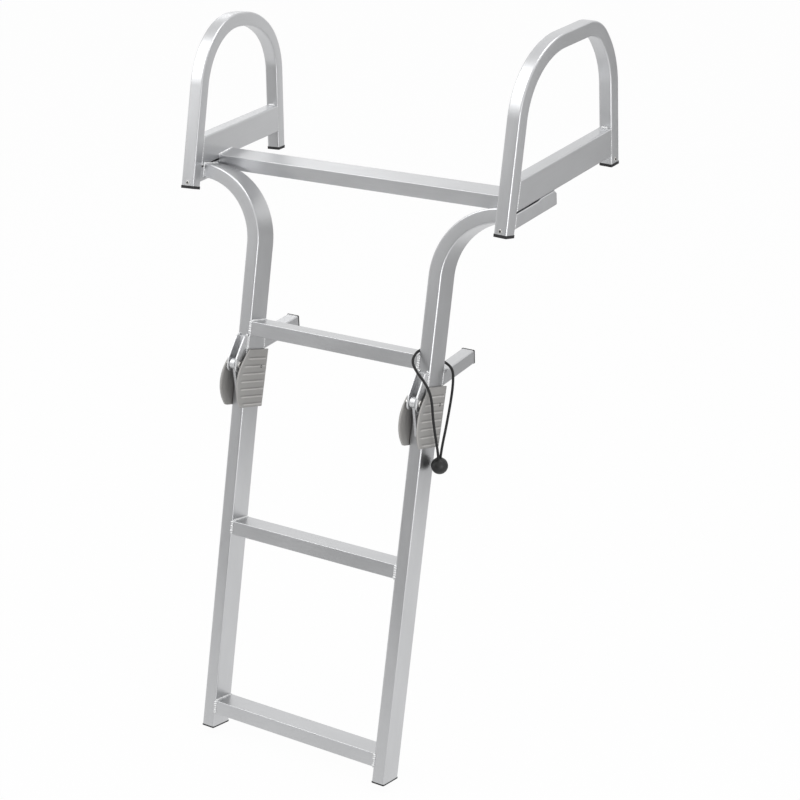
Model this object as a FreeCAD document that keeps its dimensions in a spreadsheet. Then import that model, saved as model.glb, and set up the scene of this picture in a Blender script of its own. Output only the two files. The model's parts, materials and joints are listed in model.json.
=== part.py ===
# Folding boarding ladder in welded aluminium tube, with two handrail hoops.
# Millimetres. The origin is the middle of the top step's underside, which rests on the deck.
# X runs across the ladder, Y from the water to the deck, and Z up.
import FreeCAD, Part
import Sketcher
import math
import os
from FreeCAD import Vector

doc = FreeCAD.newDocument("folding_ladder")

# Driving dimensions
SIZES = {
    # tube stock
    "tube_width": 22.0,
    "tube_depth": 44.0,
    "tube_wall": 2.0,
    "tube_corner": 1.5,
    # ladder frame, measured down along the rails from the top of the top step
    "clear_width": 305.0,
    "rail_slope": 15.5,
    "second_step_drop": 234.0,
    "third_step_drop": 559.0,
    "fourth_step_drop": 864.0,
    "rail_foot_drop": 912.0,
    "rail_split_drop": 321.5,
    "rail_split_gap": 0.5,
    "neck_drop": 12.0,
    "neck_radius": 103.0,
    # handrail hoops
    "hoop_half_gauge": 276.0,
    "hoop_lead": 30.0,
    "hoop_splay": 6.7,
    "hoop_pitch_left": -3.8,
    "hoop_pitch_right": 2.87,
    "hoop_height": 223.0,
    "hoop_depth": 300.0,
    "hoop_lean": 15.0,
    "hoop_front_foot_drop": 30.0,
    "hoop_back_foot_drop": 16.0,
    "hoop_front_radius": 117.0,
    "hoop_crown_end": 248.0,
    "hoop_crown_radius": 50.0,
    "hoop_shoulder_height": 152.0,
    "hoop_rear_radius": 125.0,
    # plate and bar between the hoop's legs
    "plate_height": 44.0,
    "plate_back_rise": 3.0,
    "plate_slope": 1.2,
    "bar_height": 22.0,
    "bar_gap": 2.0,
    "bar_length_end": 126.0,
    "bar_tab_start": 85.0,
    "bar_tab_run": 7.0,
    "bar_end_chamfer": 6.0,
    # standoffs, whose height is measured up from the split between the rails
    "standoff_rise": 47.3,
    "standoff_reach": 69.0,
    # end caps
    "cap_thickness": 2.0,
    "cap_plug_length": 14.0,
    "cap_plug_clearance": 0.2,
    # hinge, measured up and down along the rails from the split between them
    "pivot_rise": 19.5,
    "pivot_lead": 17.5,
    "pivot_radius": 4.0,
    "pivot_clearance": 0.05,
    "knuckle_radius": 9.0,
    "bracket_chin": 12.5,
    "bracket_rise": 63.5,
    "bracket_toe_lead": 5.0,
    "bracket_width": 16.0,
    "bracket_slot": 10.0,
    "bracket_base": 2.0,
    "link_fall": 34.5,
    "link_toe_lead": 3.0,
    "link_plate": 5.0,
    "link_clearance": 0.3,
    "link_boss_margin": 0.5,
    "link_root_gap": 1.0,
    "nut_flats": 10.0,
    "nut_height": 3.0,
    "bolt_end": 0.5,
    # hinge covers, measured from the same split
    "cover_rise": 42.7,
    "cover_fall": 50.5,
    "cover_tilt": 3.2,
    "cover_wall": 2.3,
    "cover_gap": 1.2,
    "cover_rear_top": 10.0,
    "cover_rear_bottom": 6.0,
    "cover_brow_lead": 3.0,
    "cover_brow_radius": 3.0,
    "cover_lobe_lead": 46.0,
    "cover_lobe_radius": 54.0,
    "cover_chin_lead": 8.0,
    "cover_chin_radius": 6.0,
    "cover_rear_radius": 2.0,
    "cover_rib_height": 0.7,
    "cover_rib_width": 3.0,
    "cover_rib_pitch": 12.3,
    "cover_rib_count": 7.0,
    "cover_rib_first": 13.0,
    "screw_rise": 12.5,
    "screw_setback": 36.0,
    "screw_head_radius": 3.0,
    "screw_head_height": 1.2,
    "screw_radius": 1.8,
    # bungee loop
    "bungee_diameter": 4.0,
    "ball_radius": 13.0,
    "ball_top_latitude": 62.0,
    "ball_side": 190.0,
    "ball_lead": 74.0,
    "ball_drop": 395.0,
}

sheet = doc.addObject("Spreadsheet::Sheet", "size")
for row, (name, number) in enumerate(SIZES.items(), start=1):
    sheet.set(f"A{row}", name)
    sheet.set(f"B{row}", str(number))
    sheet.setAlias(f"B{row}", name)
doc.recompute()

SIDES = {"left": -1, "right": 1}


def value(expression):
    """The number that an expression on the sheet's cells gives."""
    return float(sheet.evalExpression(str(expression)))


# Shared expressions, each written once
RAIL_CENTRE = "(size.clear_width + size.tube_width) / 2"
RAIL_FRONT = "(size.tube_depth / cos(size.rail_slope) + size.tube_depth / 2)"
BORE_WIDTH = "(size.tube_width - 2 * size.tube_wall)"
LEAN = "tan(size.hoop_lean)"
RISE = "tan(size.plate_slope)"
STANDOFF_TOP = "(size.rail_split_drop * cos(size.rail_slope) - size.standoff_rise)"
PIVOT_DROP = "(size.rail_split_drop - size.pivot_rise)"
BRACKET_TOP = "(size.rail_split_drop - size.bracket_rise)"
# a cut that goes clear past everything, and the overlap that a cutting tool starts with
PAST = "(8 * size.tube_depth)"
START = "size.tube_wall"


# The three frames in which sub-parts are drawn
def place_level(body, side=0):
    """Upright frame whose origin is on the rails' front plane, level with the top step's top."""
    body.setExpression("Placement.Base.y", f"-{RAIL_FRONT}")
    body.setExpression("Placement.Base.z", "size.tube_width")


def place_ladder(body, side=0):
    """The same origin, tipped so that Z runs up along the rails."""
    place_level(body)
    body.setExpression("Placement.Rotation.Roll", "-size.rail_slope")


def place_hoop(body, side):
    """A handrail's own frame: Y runs back along the splayed hoop, and Z up its back leg."""
    name = "left" if side < 0 else "right"
    body.setExpression("Placement.Base.x", f"{side} * size.hoop_half_gauge")
    body.setExpression("Placement.Base.y", f"-{RAIL_FRONT} - size.hoop_lead")
    body.setExpression("Placement.Base.z", "size.tube_width")
    body.setExpression("Placement.Rotation.Yaw", f"{-side} * size.hoop_splay")
    body.setExpression("Placement.Rotation.Roll", f"size.hoop_pitch_{name}")


# Drawing helpers
def new_body(label, place, side=0):
    """An empty body for one sub-part, placed in its frame."""
    body = doc.addObject("PartDesign::Body", label)
    body.Label = label
    place(body, side)
    return body


def new_sketch(body, plane, offset=None, roll=None):
    """A sketch on one of the body's origin planes, moved by three expressions and rolled about X."""
    sketch = body.newObject("Sketcher::SketchObject", "sketch")
    support = next(f for f in body.Origin.OriginFeatures if f.Role == plane)
    sketch.AttachmentSupport = [(support, "")]
    sketch.MapMode = "FlatFace"
    for axis, expression in zip("xyz", offset or ()):
        sketch.setExpression(f"AttachmentOffset.Base.{axis}", str(expression))
    if roll is not None:
        sketch.setExpression("AttachmentOffset.Rotation.Roll", str(roll))
    return sketch


def bind(sketch, constraint, expression):
    """Adds one driving constraint and ties it to the sheet."""
    index = sketch.addConstraint(constraint)
    sketch.setExpression(f"Constraints[{index}]", str(expression))


def fix_point(sketch, element, end, corner):
    """Holds a point at the corner's two expressions."""
    x, y = corner[0], corner[1]
    bind(sketch, Sketcher.Constraint("DistanceX", -1, 1, element, end, value(x)), x)
    bind(sketch, Sketcher.Constraint("DistanceY", -1, 1, element, end, value(y)), y)


def round_corner(point, before, after, radius):
    """Where the arc in a corner starts and ends, its centre, and whether it turns left."""
    back = (before - point).normalize()
    ahead = (after - point).normalize()
    half = back.getAngle(ahead) / 2
    start = point + back * (radius / math.tan(half))
    end = point + ahead * (radius / math.tan(half))
    middle = (back + ahead).normalize()
    centre = point + middle * (radius / math.sin(half))
    turns_left = back.cross(ahead).z < 0
    return start, end, centre, turns_left


def draw(sketch, corners, closed=True):
    """Straight sides through the corners; a corner with a third value is rounded to that radius."""
    points = [Vector(value(c[0]), value(c[1]), 0) for c in corners]
    count = len(points)
    rounded = {}
    for i, corner in enumerate(corners):
        if len(corner) > 2:
            rounded[i] = round_corner(
                points[i], points[i - 1], points[(i + 1) % count], value(corner[2])
            )
    sides = []
    for i in range(count if closed else count - 1):
        j = (i + 1) % count
        start = rounded[i][1] if i in rounded else points[i]
        end = rounded[j][0] if j in rounded else points[j]
        sides.append(sketch.addGeometry(Part.LineSegment(start, end)))
    for i, corner in enumerate(corners):
        before = sides[i - 1] if closed or i > 0 else None
        after = sides[i] if i < len(sides) else None
        if i not in rounded:
            if before is not None and after is not None:
                sketch.addConstraint(Sketcher.Constraint("Coincident", before, 2, after, 1))
            fix_point(sketch, *((after, 1) if after is not None else (before, 2)), corner)
            continue
        start, end, centre, turns_left = rounded[i]
        first, last = (start, end) if turns_left else (end, start)
        radius = value(corner[2])
        angles = [math.atan2(p.y - centre.y, p.x - centre.x) for p in (first, last)]
        if angles[1] < angles[0]:
            angles[1] += 2 * math.pi
        circle = Part.Circle(centre, Vector(0, 0, 1), radius)
        arc = sketch.addGeometry(Part.ArcOfCircle(circle, *angles))
        apex = sketch.addGeometry(Part.Point(points[i]), True)
        ends = (1, 2) if turns_left else (2, 1)
        sketch.addConstraint(Sketcher.Constraint("Tangent", before, 2, arc, ends[0]))
        sketch.addConstraint(Sketcher.Constraint("Tangent", arc, ends[1], after, 1))
        sketch.addConstraint(Sketcher.Constraint("PointOnObject", apex, 1, before))
        sketch.addConstraint(Sketcher.Constraint("PointOnObject", apex, 1, after))
        bind(sketch, Sketcher.Constraint("Radius", arc, radius), corner[2])
        fix_point(sketch, apex, 1, corner)


def draw_rectangle(sketch, x, y, width, height, radius=None):
    """A rectangle about a centre, with rounded corners where a radius is given."""
    corners = []
    for across, up in ((-1, -1), (1, -1), (1, 1), (-1, 1)):
        corner = [f"{x} + {across} * ({width}) / 2", f"{y} + {up} * ({height}) / 2"]
        corners.append(corner + [radius] if radius else corner)
    draw(sketch, corners)


def draw_circle(sketch, x, y, radius):
    """A circle about a centre."""
    centre = Vector(value(x), value(y), 0)
    circle = sketch.addGeometry(Part.Circle(centre, Vector(0, 0, 1), value(radius)))
    bind(sketch, Sketcher.Constraint("Radius", circle, value(radius)), radius)
    fix_point(sketch, circle, 3, (x, y))


def draw_tube(sketch, x, y, width, height):
    """The section of a rectangular tube."""
    draw_rectangle(sketch, x, y, width, height, "size.tube_corner")
    bore = [f"{side} - 2 * size.tube_wall" for side in (width, height)]
    draw_rectangle(sketch, x, y, *bore)


def pad(body, sketch, length, symmetric=False, reverse=False):
    """Raises a sketch by a length."""
    feature = body.newObject("PartDesign::Pad", "pad")
    feature.Profile = sketch
    feature.SideType = "Symmetric" if symmetric else "One side"
    feature.Reversed = reverse
    feature.setExpression("Length", str(length))
    body.Tip = feature
    doc.recompute()
    return feature


def pocket(body, sketch, length, symmetric=True, reverse=False):
    """Cuts a sketch out of the body and tests that it took something away."""
    before = body.Shape.Volume
    feature = body.newObject("PartDesign::Pocket", "pocket")
    feature.Profile = sketch
    feature.SideType = "Symmetric" if symmetric else "One side"
    feature.Reversed = reverse
    feature.setExpression("Length", str(length))
    body.Tip = feature
    doc.recompute()
    if not body.Shape.Volume < before:
        raise RuntimeError(f"{body.Label}: a pocket cuts nothing")
    return feature


def pipe(body, section, path):
    """Sweeps a section along a path."""
    feature = body.newObject("PartDesign::AdditivePipe", "pipe")
    feature.Profile = section
    feature.Spine = path
    body.Tip = feature
    doc.recompute()
    return feature


parts = []


def keep(body):
    """Marks a sub-part as finished."""
    parts.append(body)
    return body


# Line of a hoop's inner face, seen from above in the level frame
def inner_face_x(side, y):
    """X of the hoop's inner face at a given Y."""
    back = f"(({y}) + size.hoop_lead) * sin(size.hoop_splay)"
    return f"{side} * (size.hoop_half_gauge + ({back} - size.tube_width / 2) / cos(size.hoop_splay))"


def trim_at_hoop(body, side, front, back, roll=None):
    """Cuts a cross tube off square against the hoop's inner face."""
    outer = f"{side} * (size.hoop_half_gauge + size.tube_depth)"
    sketch = new_sketch(body, "XY_Plane", roll=roll)
    draw(sketch, [
        (inner_face_x(side, front), front),
        (inner_face_x(side, back), back),
        (outer, back),
        (outer, front),
    ])
    pocket(body, sketch, PAST)


# Upper rails: straight side tubes that curl outward under the hoops
def upper_rail(name, side):
    body = new_body(f"upper_rail_{name}", place_ladder)
    section = new_sketch(body, "XY_Plane", (0, 0, "-size.rail_split_drop"))
    draw_tube(section, f"{side} * {RAIL_CENTRE}", "size.tube_depth / 2", "size.tube_width", "size.tube_depth")
    path = new_sketch(body, "XZ_Plane", (0, 0, "-size.tube_depth / 2"))
    rail_x = f"{side} * {RAIL_CENTRE}"
    draw(path, [
        (rail_x, "-size.rail_split_drop"),
        (rail_x, "-size.neck_drop", "size.neck_radius"),
        (f"{side} * (size.hoop_half_gauge + size.tube_width / 2)", "-size.neck_drop"),
    ], closed=False)
    pipe(body, section, path)
    trim_at_hoop(body, side, "-size.tube_depth", "2 * size.tube_depth", roll="size.rail_slope")
    return keep(body)


# Lower rails: straight side tubes of the folding section
def lower_rail(name, side):
    body = new_body(f"lower_rail_{name}", place_ladder)
    section = new_sketch(body, "XY_Plane", (0, 0, "-size.rail_foot_drop + size.cap_thickness"))
    draw_tube(section, f"{side} * {RAIL_CENTRE}", "size.tube_depth / 2", "size.tube_width", "size.tube_depth")
    length = "size.rail_foot_drop - size.cap_thickness - size.rail_split_drop - size.rail_split_gap"
    pad(body, section, length)
    return keep(body)


# Steps
def top_step():
    body = new_body("top_step", place_level)
    section = new_sketch(body, "YZ_Plane")
    middle = "size.tube_depth / cos(size.rail_slope) + size.tube_depth / 2"
    draw_tube(section, middle, "-size.tube_width / 2", "size.tube_depth", "size.tube_width")
    pad(body, section, "2 * (size.hoop_half_gauge + size.tube_width)", symmetric=True)
    for side in SIDES.values():
        trim_at_hoop(body, side, "0", "3 * size.tube_depth")
    return keep(body)


def step(name, drop):
    body = new_body(name, place_ladder)
    section = new_sketch(body, "YZ_Plane")
    draw_tube(section, "size.tube_depth / 2", f"-{drop} - size.tube_width / 2", "size.tube_depth", "size.tube_width")
    pad(body, section, "size.clear_width", symmetric=True)
    return keep(body)


# Standoffs: short tubes that hold the ladder off the hull
def standoff(name, side):
    body = new_body(f"standoff_{name}", place_level)
    reach = "size.standoff_reach - size.cap_thickness"
    section = new_sketch(body, "XZ_Plane", (0, 0, f"-({reach})"))
    centre_z = f"-{STANDOFF_TOP} - size.tube_width / 2"
    draw_tube(section, f"{side} * {RAIL_CENTRE}", centre_z, "size.tube_width", "size.tube_width")
    pad(body, section, "size.standoff_reach + 2 * size.tube_depth")
    mitre = new_sketch(body, "YZ_Plane")
    top = f"-{STANDOFF_TOP} + size.tube_width"
    bottom = f"-{STANDOFF_TOP} - 2 * size.tube_width"
    far = f"-{PAST}"
    draw(mitre, [
        (rail_back_y(top), top),
        (far, top),
        (far, bottom),
        (rail_back_y(bottom), bottom),
    ])
    pocket(body, mitre, f"2 * size.hoop_half_gauge + {PAST}")
    return keep(body)


def rail_back_y(z):
    """Y of the rails' back face at a height in the level frame."""
    return f"(size.tube_depth + ({z}) * sin(size.rail_slope)) / cos(size.rail_slope)"


# Handrail hoops
FRONT_AXIS = "(size.tube_width / 2 / cos(size.hoop_lean))"


def hoop_front_foot():
    """Centre of the front leg's lower end, cap included."""
    y = f"-size.hoop_front_foot_drop * {LEAN} + size.tube_width / 2 * cos(size.hoop_lean)"
    z = "-size.hoop_front_foot_drop - size.tube_width / 2 * sin(size.hoop_lean)"
    return y, z


def handrail(name, side):
    body = new_body(f"handrail_{name}", place_hoop, side)
    foot_y, foot_z = hoop_front_foot()
    start_y = f"{foot_y} + size.cap_thickness * sin(size.hoop_lean)"
    start_z = f"{foot_z} + size.cap_thickness * cos(size.hoop_lean)"
    crown_z = "(size.hoop_height - size.tube_width / 2)"
    back_y = "size.hoop_depth - size.tube_width / 2"
    path = new_sketch(body, "YZ_Plane")
    draw(path, [
        (start_y, start_z),
        (f"{FRONT_AXIS} + {crown_z} * {LEAN}", crown_z, "size.hoop_front_radius"),
        ("size.hoop_crown_end", crown_z, "size.hoop_crown_radius"),
        (back_y, "size.hoop_shoulder_height", "size.hoop_rear_radius"),
        (back_y, "-size.hoop_back_foot_drop + size.cap_thickness"),
    ], closed=False)
    section = new_sketch(body, "XY_Plane", (0, start_y, start_z), roll="-size.hoop_lean")
    draw_tube(section, "0", "0", "size.tube_width", "size.tube_width")
    pipe(body, section, path)
    return keep(body)


def plate_line(level, y):
    """Height on a line that runs along the plate, at a given Y, from its level at the back leg."""
    return f"(({level}) - ({PLATE_BACK} - ({y})) * {RISE})"


def plate_front(level):
    """Where such a line meets the back face of the leaning front leg."""
    top = f"(size.tube_width / cos(size.hoop_lean) + {LEAN} * (({level}) - {PLATE_BACK} * {RISE}))"
    return f"({top} / (1 - {LEAN} * {RISE}))"


PLATE_BACK = "(size.hoop_depth - size.tube_width)"
PLATE_TOP = "(size.plate_back_rise + size.plate_height / cos(size.plate_slope))"
BAR_TOP = "(size.plate_back_rise - size.bar_gap / cos(size.plate_slope))"
BAR_BOTTOM = f"({BAR_TOP} - size.bar_height / cos(size.plate_slope))"


def handrail_plate(name, side):
    """Flat tube between a hoop's legs, which carries the deck end of the ladder."""
    body = new_body(f"handrail_plate_{name}", place_hoop, side)
    outline = new_sketch(body, "YZ_Plane")
    low, high = "size.plate_back_rise", PLATE_TOP
    draw(outline, [
        (plate_front(low), plate_line(low, plate_front(low))),
        (PLATE_BACK, low),
        (PLATE_BACK, high),
        (plate_front(high), plate_line(high, plate_front(high))),
    ])
    pad(body, outline, "size.tube_width", symmetric=True)
    bore = new_sketch(body, "YZ_Plane")
    low, high = f"({low} + size.tube_wall)", f"({high} - size.tube_wall)"
    draw(bore, [
        ("0", plate_line(low, "0")),
        ("size.hoop_depth", plate_line(low, "size.hoop_depth")),
        ("size.hoop_depth", plate_line(high, "size.hoop_depth")),
        ("0", plate_line(high, "0")),
    ])
    pocket(body, bore, BORE_WIDTH)
    return keep(body)


def under_bar(name, side):
    """Short square tube under the plate, with a raised tab at its rear end."""
    body = new_body(f"under_bar_{name}", place_hoop, side)
    outline = new_sketch(body, "YZ_Plane")
    end = "size.bar_length_end"
    seat = "size.plate_back_rise"
    tab_end = f"({end} - size.bar_end_chamfer)"
    draw(outline, [
        (plate_front(BAR_BOTTOM), plate_line(BAR_BOTTOM, plate_front(BAR_BOTTOM))),
        (end, plate_line(BAR_BOTTOM, end)),
        (end, f"{plate_line(seat, end)} - size.bar_end_chamfer"),
        (tab_end, plate_line(seat, tab_end)),
        ("size.bar_tab_start", plate_line(seat, "size.bar_tab_start")),
        ("size.bar_tab_start - size.bar_tab_run", plate_line(BAR_TOP, "size.bar_tab_start - size.bar_tab_run")),
        (plate_front(BAR_TOP), plate_line(BAR_TOP, plate_front(BAR_TOP))),
    ])
    pad(body, outline, "size.tube_width", symmetric=True)
    bore = new_sketch(body, "YZ_Plane")
    low, high = f"({BAR_BOTTOM} + size.tube_wall)", f"({BAR_TOP} - size.tube_wall)"
    bore_end = f"({end} - size.tube_wall)"
    draw(bore, [
        ("0", plate_line(low, "0")),
        (bore_end, plate_line(low, bore_end)),
        (bore_end, plate_line(high, bore_end)),
        ("0", plate_line(high, "0")),
    ])
    pocket(body, bore, BORE_WIDTH)
    return keep(body)


# Plastic end caps: a flange over the tube's end and a plug inside it
def end_cap(label, place, side, x, y, z, depth, roll="0"):
    """A cap whose flange starts at the point x, y, z; depth is the tube's size along Y."""
    body = new_body(label, place, side)
    flange = new_sketch(body, "XY_Plane", (x, y, z), roll)
    draw_rectangle(flange, "0", "0", "size.tube_width", depth, "size.tube_corner")
    pad(body, flange, "size.cap_thickness")
    plug = new_sketch(body, "XY_Plane", (x, y, z), roll)
    slack = "2 * (size.tube_wall + size.cap_plug_clearance)"
    draw_rectangle(plug, "0", "0", f"size.tube_width - {slack}", f"{depth} - {slack}")
    pad(body, plug, "size.cap_plug_length")
    return keep(body)


def caps(name, side):
    """The four caps of one side."""
    rail_x = f"{side} * {RAIL_CENTRE}"
    foot_y, foot_z = hoop_front_foot()
    end_cap(f"handrail_front_cap_{name}", place_hoop, side, "0", foot_y, foot_z,
            "size.tube_width", "-size.hoop_lean")
    end_cap(f"handrail_back_cap_{name}", place_hoop, side, "0", "size.hoop_depth - size.tube_width / 2",
            "-size.hoop_back_foot_drop", "size.tube_width")
    end_cap(f"standoff_cap_{name}", place_level, side, rail_x, "size.standoff_reach",
            f"-{STANDOFF_TOP} - size.tube_width / 2", "size.tube_width", "90")
    end_cap(f"foot_cap_{name}", place_ladder, side, rail_x, "size.tube_depth / 2",
            "-size.rail_foot_drop", "size.tube_depth")


# Hinges. In the ladder frame's YZ plane the pivot stands in front of the rails.
PIVOT = ("-size.pivot_lead", f"-{PIVOT_DROP}")


def hinge_body(label, side):
    """A body whose middle plane is a rail's middle plane."""
    body = new_body(label, place_ladder)
    return body, (0, 0, f"{side} * {RAIL_CENTRE}")


def hinge_bracket(name, side):
    """Two flanges on a common base, welded to the upper rail's front face."""
    body, middle = hinge_body(f"hinge_bracket_{name}", side)
    nose = "-size.pivot_lead - size.knuckle_radius"
    low = f"-{PIVOT_DROP} - size.bracket_chin"
    neck = f"-{PIVOT_DROP} + size.knuckle_radius"
    outline = new_sketch(body, "YZ_Plane", middle)
    draw(outline, [
        ("0", f"-{BRACKET_TOP}"),
        ("-size.bracket_toe_lead", f"-{BRACKET_TOP}"),
        (nose, neck, "size.knuckle_radius"),
        (nose, low, "size.knuckle_radius"),
        ("-size.bracket_base", low, "size.knuckle_radius / 2"),
        ("-size.bracket_base", neck),
        ("0", neck),
    ])
    pad(body, outline, "size.bracket_width", symmetric=True)
    slot = new_sketch(body, "YZ_Plane", middle)
    draw(slot, [
        ("-size.bracket_base", f"-{BRACKET_TOP} + {START}"),
        (f"-{PAST}", f"-{BRACKET_TOP} + {START}"),
        (f"-{PAST}", f"{low} - {START}"),
        ("-size.bracket_base", f"{low} - {START}"),
    ])
    pocket(body, slot, "size.bracket_slot")
    bore = new_sketch(body, "YZ_Plane", middle)
    draw_circle(bore, *PIVOT, "size.pivot_radius + size.pivot_clearance")
    pocket(body, bore, "2 * size.bracket_width")
    return keep(body)


def hinge_link(name, side):
    """Plate with a round boss at the pivot, welded to the lower rail's front face."""
    body, middle = hinge_body(f"hinge_link_{name}", side)
    outline = new_sketch(body, "YZ_Plane", middle)
    half_web = "size.knuckle_radius / 2"
    root = "-size.rail_split_drop - size.rail_split_gap - size.link_root_gap"
    foot = "-size.rail_split_drop - size.link_fall"
    draw(outline, [
        (f"-size.pivot_lead - {half_web}", f"-{PIVOT_DROP}"),
        (f"-size.pivot_lead + {half_web}", f"-{PIVOT_DROP}"),
        (f"-size.pivot_lead + {half_web}", root),
        ("0", root),
        ("0", foot),
        ("-size.link_toe_lead", foot),
    ])
    pad(body, outline, "size.link_plate", symmetric=True)
    boss = new_sketch(body, "YZ_Plane", middle)
    draw_circle(boss, *PIVOT, "size.knuckle_radius - size.link_boss_margin")
    pad(body, boss, "size.bracket_slot - 2 * size.link_clearance", symmetric=True)
    bore = new_sketch(body, "YZ_Plane", middle)
    draw_circle(bore, *PIVOT, "size.pivot_radius + size.pivot_clearance")
    pocket(body, bore, "2 * size.bracket_width")
    return keep(body)


def hexagon(sketch, centre, flats):
    """A regular hexagon about a point, by its width across flats."""
    corners = []
    for i in range(6):
        reach = f"{flats} / 2 / cos(30)"
        corners.append((f"{centre[0]} + {reach} * cos({60 * i})", f"{centre[1]} + {reach} * sin({60 * i})"))
    draw(sketch, corners)


def pivot_bolt(name, side):
    """Shank through both flanges, with a hexagon head and nut outside them."""
    body, middle = hinge_body(f"pivot_bolt_{name}", side)
    shank = new_sketch(body, "YZ_Plane", middle)
    draw_circle(shank, *PIVOT, "size.pivot_radius")
    pad(body, shank, "size.bracket_width + 2 * (size.nut_height + size.bolt_end)", symmetric=True)
    for hand in (-1, 1):
        at = f"{middle[2]} + {hand} * size.bracket_width / 2"
        head = new_sketch(body, "YZ_Plane", (0, 0, at))
        hexagon(head, PIVOT, "size.nut_flats")
        pad(body, head, "size.nut_height", reverse=hand < 0)
    return keep(body)


# Hinge covers
COVER_TOP = "(size.cover_rise - size.rail_split_drop)"
COVER_LOW = "(-size.cover_fall - size.rail_split_drop)"
COVER_INSIDE = "(size.tube_width + 2 * size.cover_gap)"
COVER_OUTSIDE = f"({COVER_INSIDE} + 2 * size.cover_wall)"
SCREW = ("size.screw_setback", "(size.screw_rise - size.rail_split_drop)")


def tilted(level, y):
    """Height on one of a cover's edges or ribs, which all run down a little towards the rear."""
    return f"({level} - ({y}) * tan(size.cover_tilt))"



def hinge_cover(name, side):
    """Grey moulding, U-shaped in section, held on the upper rail and open to the front."""
    body, middle = hinge_body(f"hinge_cover_{name}", side)
    outline = new_sketch(body, "YZ_Plane", middle)
    rear_top = "size.tube_depth + size.cover_rear_top"
    rear_low = "size.tube_depth + size.cover_rear_bottom"
    brow, chin = "-size.cover_brow_lead", "-size.cover_chin_lead"
    draw(outline, [
        (rear_top, tilted(COVER_TOP, rear_top), "size.cover_rear_radius"),
        (brow, tilted(COVER_TOP, brow), "size.cover_brow_radius"),
        ("-size.cover_lobe_lead", f"({COVER_TOP} + {COVER_LOW}) / 2", "size.cover_lobe_radius"),
        (chin, tilted(COVER_LOW, chin), "size.cover_chin_radius"),
        (rear_low, tilted(COVER_LOW, rear_low), "size.cover_rear_radius"),
    ])
    pad(body, outline, COVER_OUTSIDE, symmetric=True)
    # the seat on the upper rail
    seat = new_sketch(body, "YZ_Plane", middle)
    above, below = f"{COVER_TOP} + size.tube_width", f"{COVER_LOW} - size.tube_width"
    draw(seat, [
        ("size.tube_depth", above),
        (f"-{PAST}", above),
        (f"-{PAST}", below),
        ("size.tube_depth", below),
    ])
    pocket(body, seat, "size.tube_width")
    # the wider room round the lower rail and the hinge
    room = new_sketch(body, "YZ_Plane", middle)
    draw(room, [
        ("size.tube_depth + size.cover_gap", "-size.rail_split_drop"),
        ("0", "-size.rail_split_drop"),
        ("0", above),
        (f"-{PAST}", above),
        (f"-{PAST}", below),
        ("size.tube_depth + size.cover_gap", below),
    ])
    pocket(body, room, COVER_INSIDE)
    # the rear wall starts below the standoff
    notch = new_sketch(body, "YZ_Plane", middle)
    standoff_low = f"({STANDOFF_TOP} + size.tube_width - size.tube_depth * sin(size.rail_slope))"
    notch_low = f"-{standoff_low} / cos(size.rail_slope) - size.cover_gap"
    draw(notch, [
        ("0", above),
        ("0", notch_low),
        (PAST, notch_low),
        (PAST, above),
    ])
    pocket(body, notch, "size.tube_width")
    # grip ribs on both side walls
    for hand in (-1, 1):
        wall = f"{middle[2]} + {hand} * {COVER_OUTSIDE} / 2"
        rib = new_sketch(body, "YZ_Plane", (0, 0, wall))
        upper = f"({COVER_TOP} - size.cover_rib_first)"
        lower = f"({upper} - size.cover_rib_width)"
        draw(rib, [
            ("size.tube_depth", tilted(upper, "size.tube_depth")),
            ("0", upper),
            ("0", lower),
            ("size.tube_depth", tilted(lower, "size.tube_depth")),
        ])
        raised = pad(body, rib, "size.cover_rib_height", reverse=hand < 0)
        ribs = body.newObject("PartDesign::LinearPattern", "ribs")
        ribs.Originals = [raised]
        axis = next(f for f in body.Origin.OriginFeatures if f.Role == "Z_Axis")
        ribs.Direction = (axis, [""])
        ribs.Reversed = True
        ribs.setExpression("Length", "size.cover_rib_pitch * (size.cover_rib_count - 1)")
        ribs.setExpression("Occurrences", "size.cover_rib_count")
        body.Tip = ribs
        doc.recompute()
        # a flat round the screw's head
        flat = new_sketch(body, "YZ_Plane", (0, 0, wall))
        draw_circle(flat, *SCREW, "size.screw_head_radius + size.cover_rib_height")
        pocket(body, flat, "2 * size.cover_rib_height", symmetric=False, reverse=hand > 0)
    # holes for the fixing screws, through both side walls
    hole = new_sketch(body, "YZ_Plane", middle)
    draw_circle(hole, *SCREW, "size.screw_radius + size.pivot_clearance")
    pocket(body, hole, PAST)
    return keep(body)


def cover_screw(name, side, hand):
    """Pan head screw through one side wall of a cover, up against the upper rail."""
    where = "outer" if hand == side else "inner"
    body, middle = hinge_body(f"cover_screw_{name}_{where}", side)
    shank = new_sketch(body, "YZ_Plane", (0, 0, f"{middle[2]} + {hand} * size.tube_width / 2"))
    draw_circle(shank, *SCREW, "size.screw_radius")
    pad(body, shank, "size.cover_gap + size.cover_wall", reverse=hand < 0)
    head = new_sketch(body, "YZ_Plane", (0, 0, f"{middle[2]} + {hand} * {COVER_OUTSIDE} / 2"))
    draw_circle(head, *SCREW, "size.screw_head_radius")
    pad(body, head, "size.screw_head_height", reverse=hand < 0)
    return keep(body)


# Bungee loop round the right rail, hand-placed points in the level frame
BUNGEE_ROUTE = [
    (190, -71.5, -385),
    (190, -66, -368),
    (188, -50, -346),
    (187, -38, -324),
    (187, -28, -300),
    (187, -22, -278),
    (183, -15, -262),
    (170, -9, -256),
    (155, -9, -252),
    (145, -14, -238),
    (144, -28, -228),
    (144, -48, -223),
    (144, -68, -223),
    (148, -82, -231),
    (160, -86, -244),
    (174, -86, -256),
    (184, -87, -270),
    (188, -88, -288),
    (188, -87, -308),
    (189, -85, -331),
    (190, -82, -352),
    (190.5, -79, -370),
    (190, -76.5, -385),
]


def level_point(point):
    """A point of the level frame in the part's own frame."""
    x, y, z = point
    return Vector(x, y - value(RAIL_FRONT), z + value("size.tube_width"))


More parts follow.
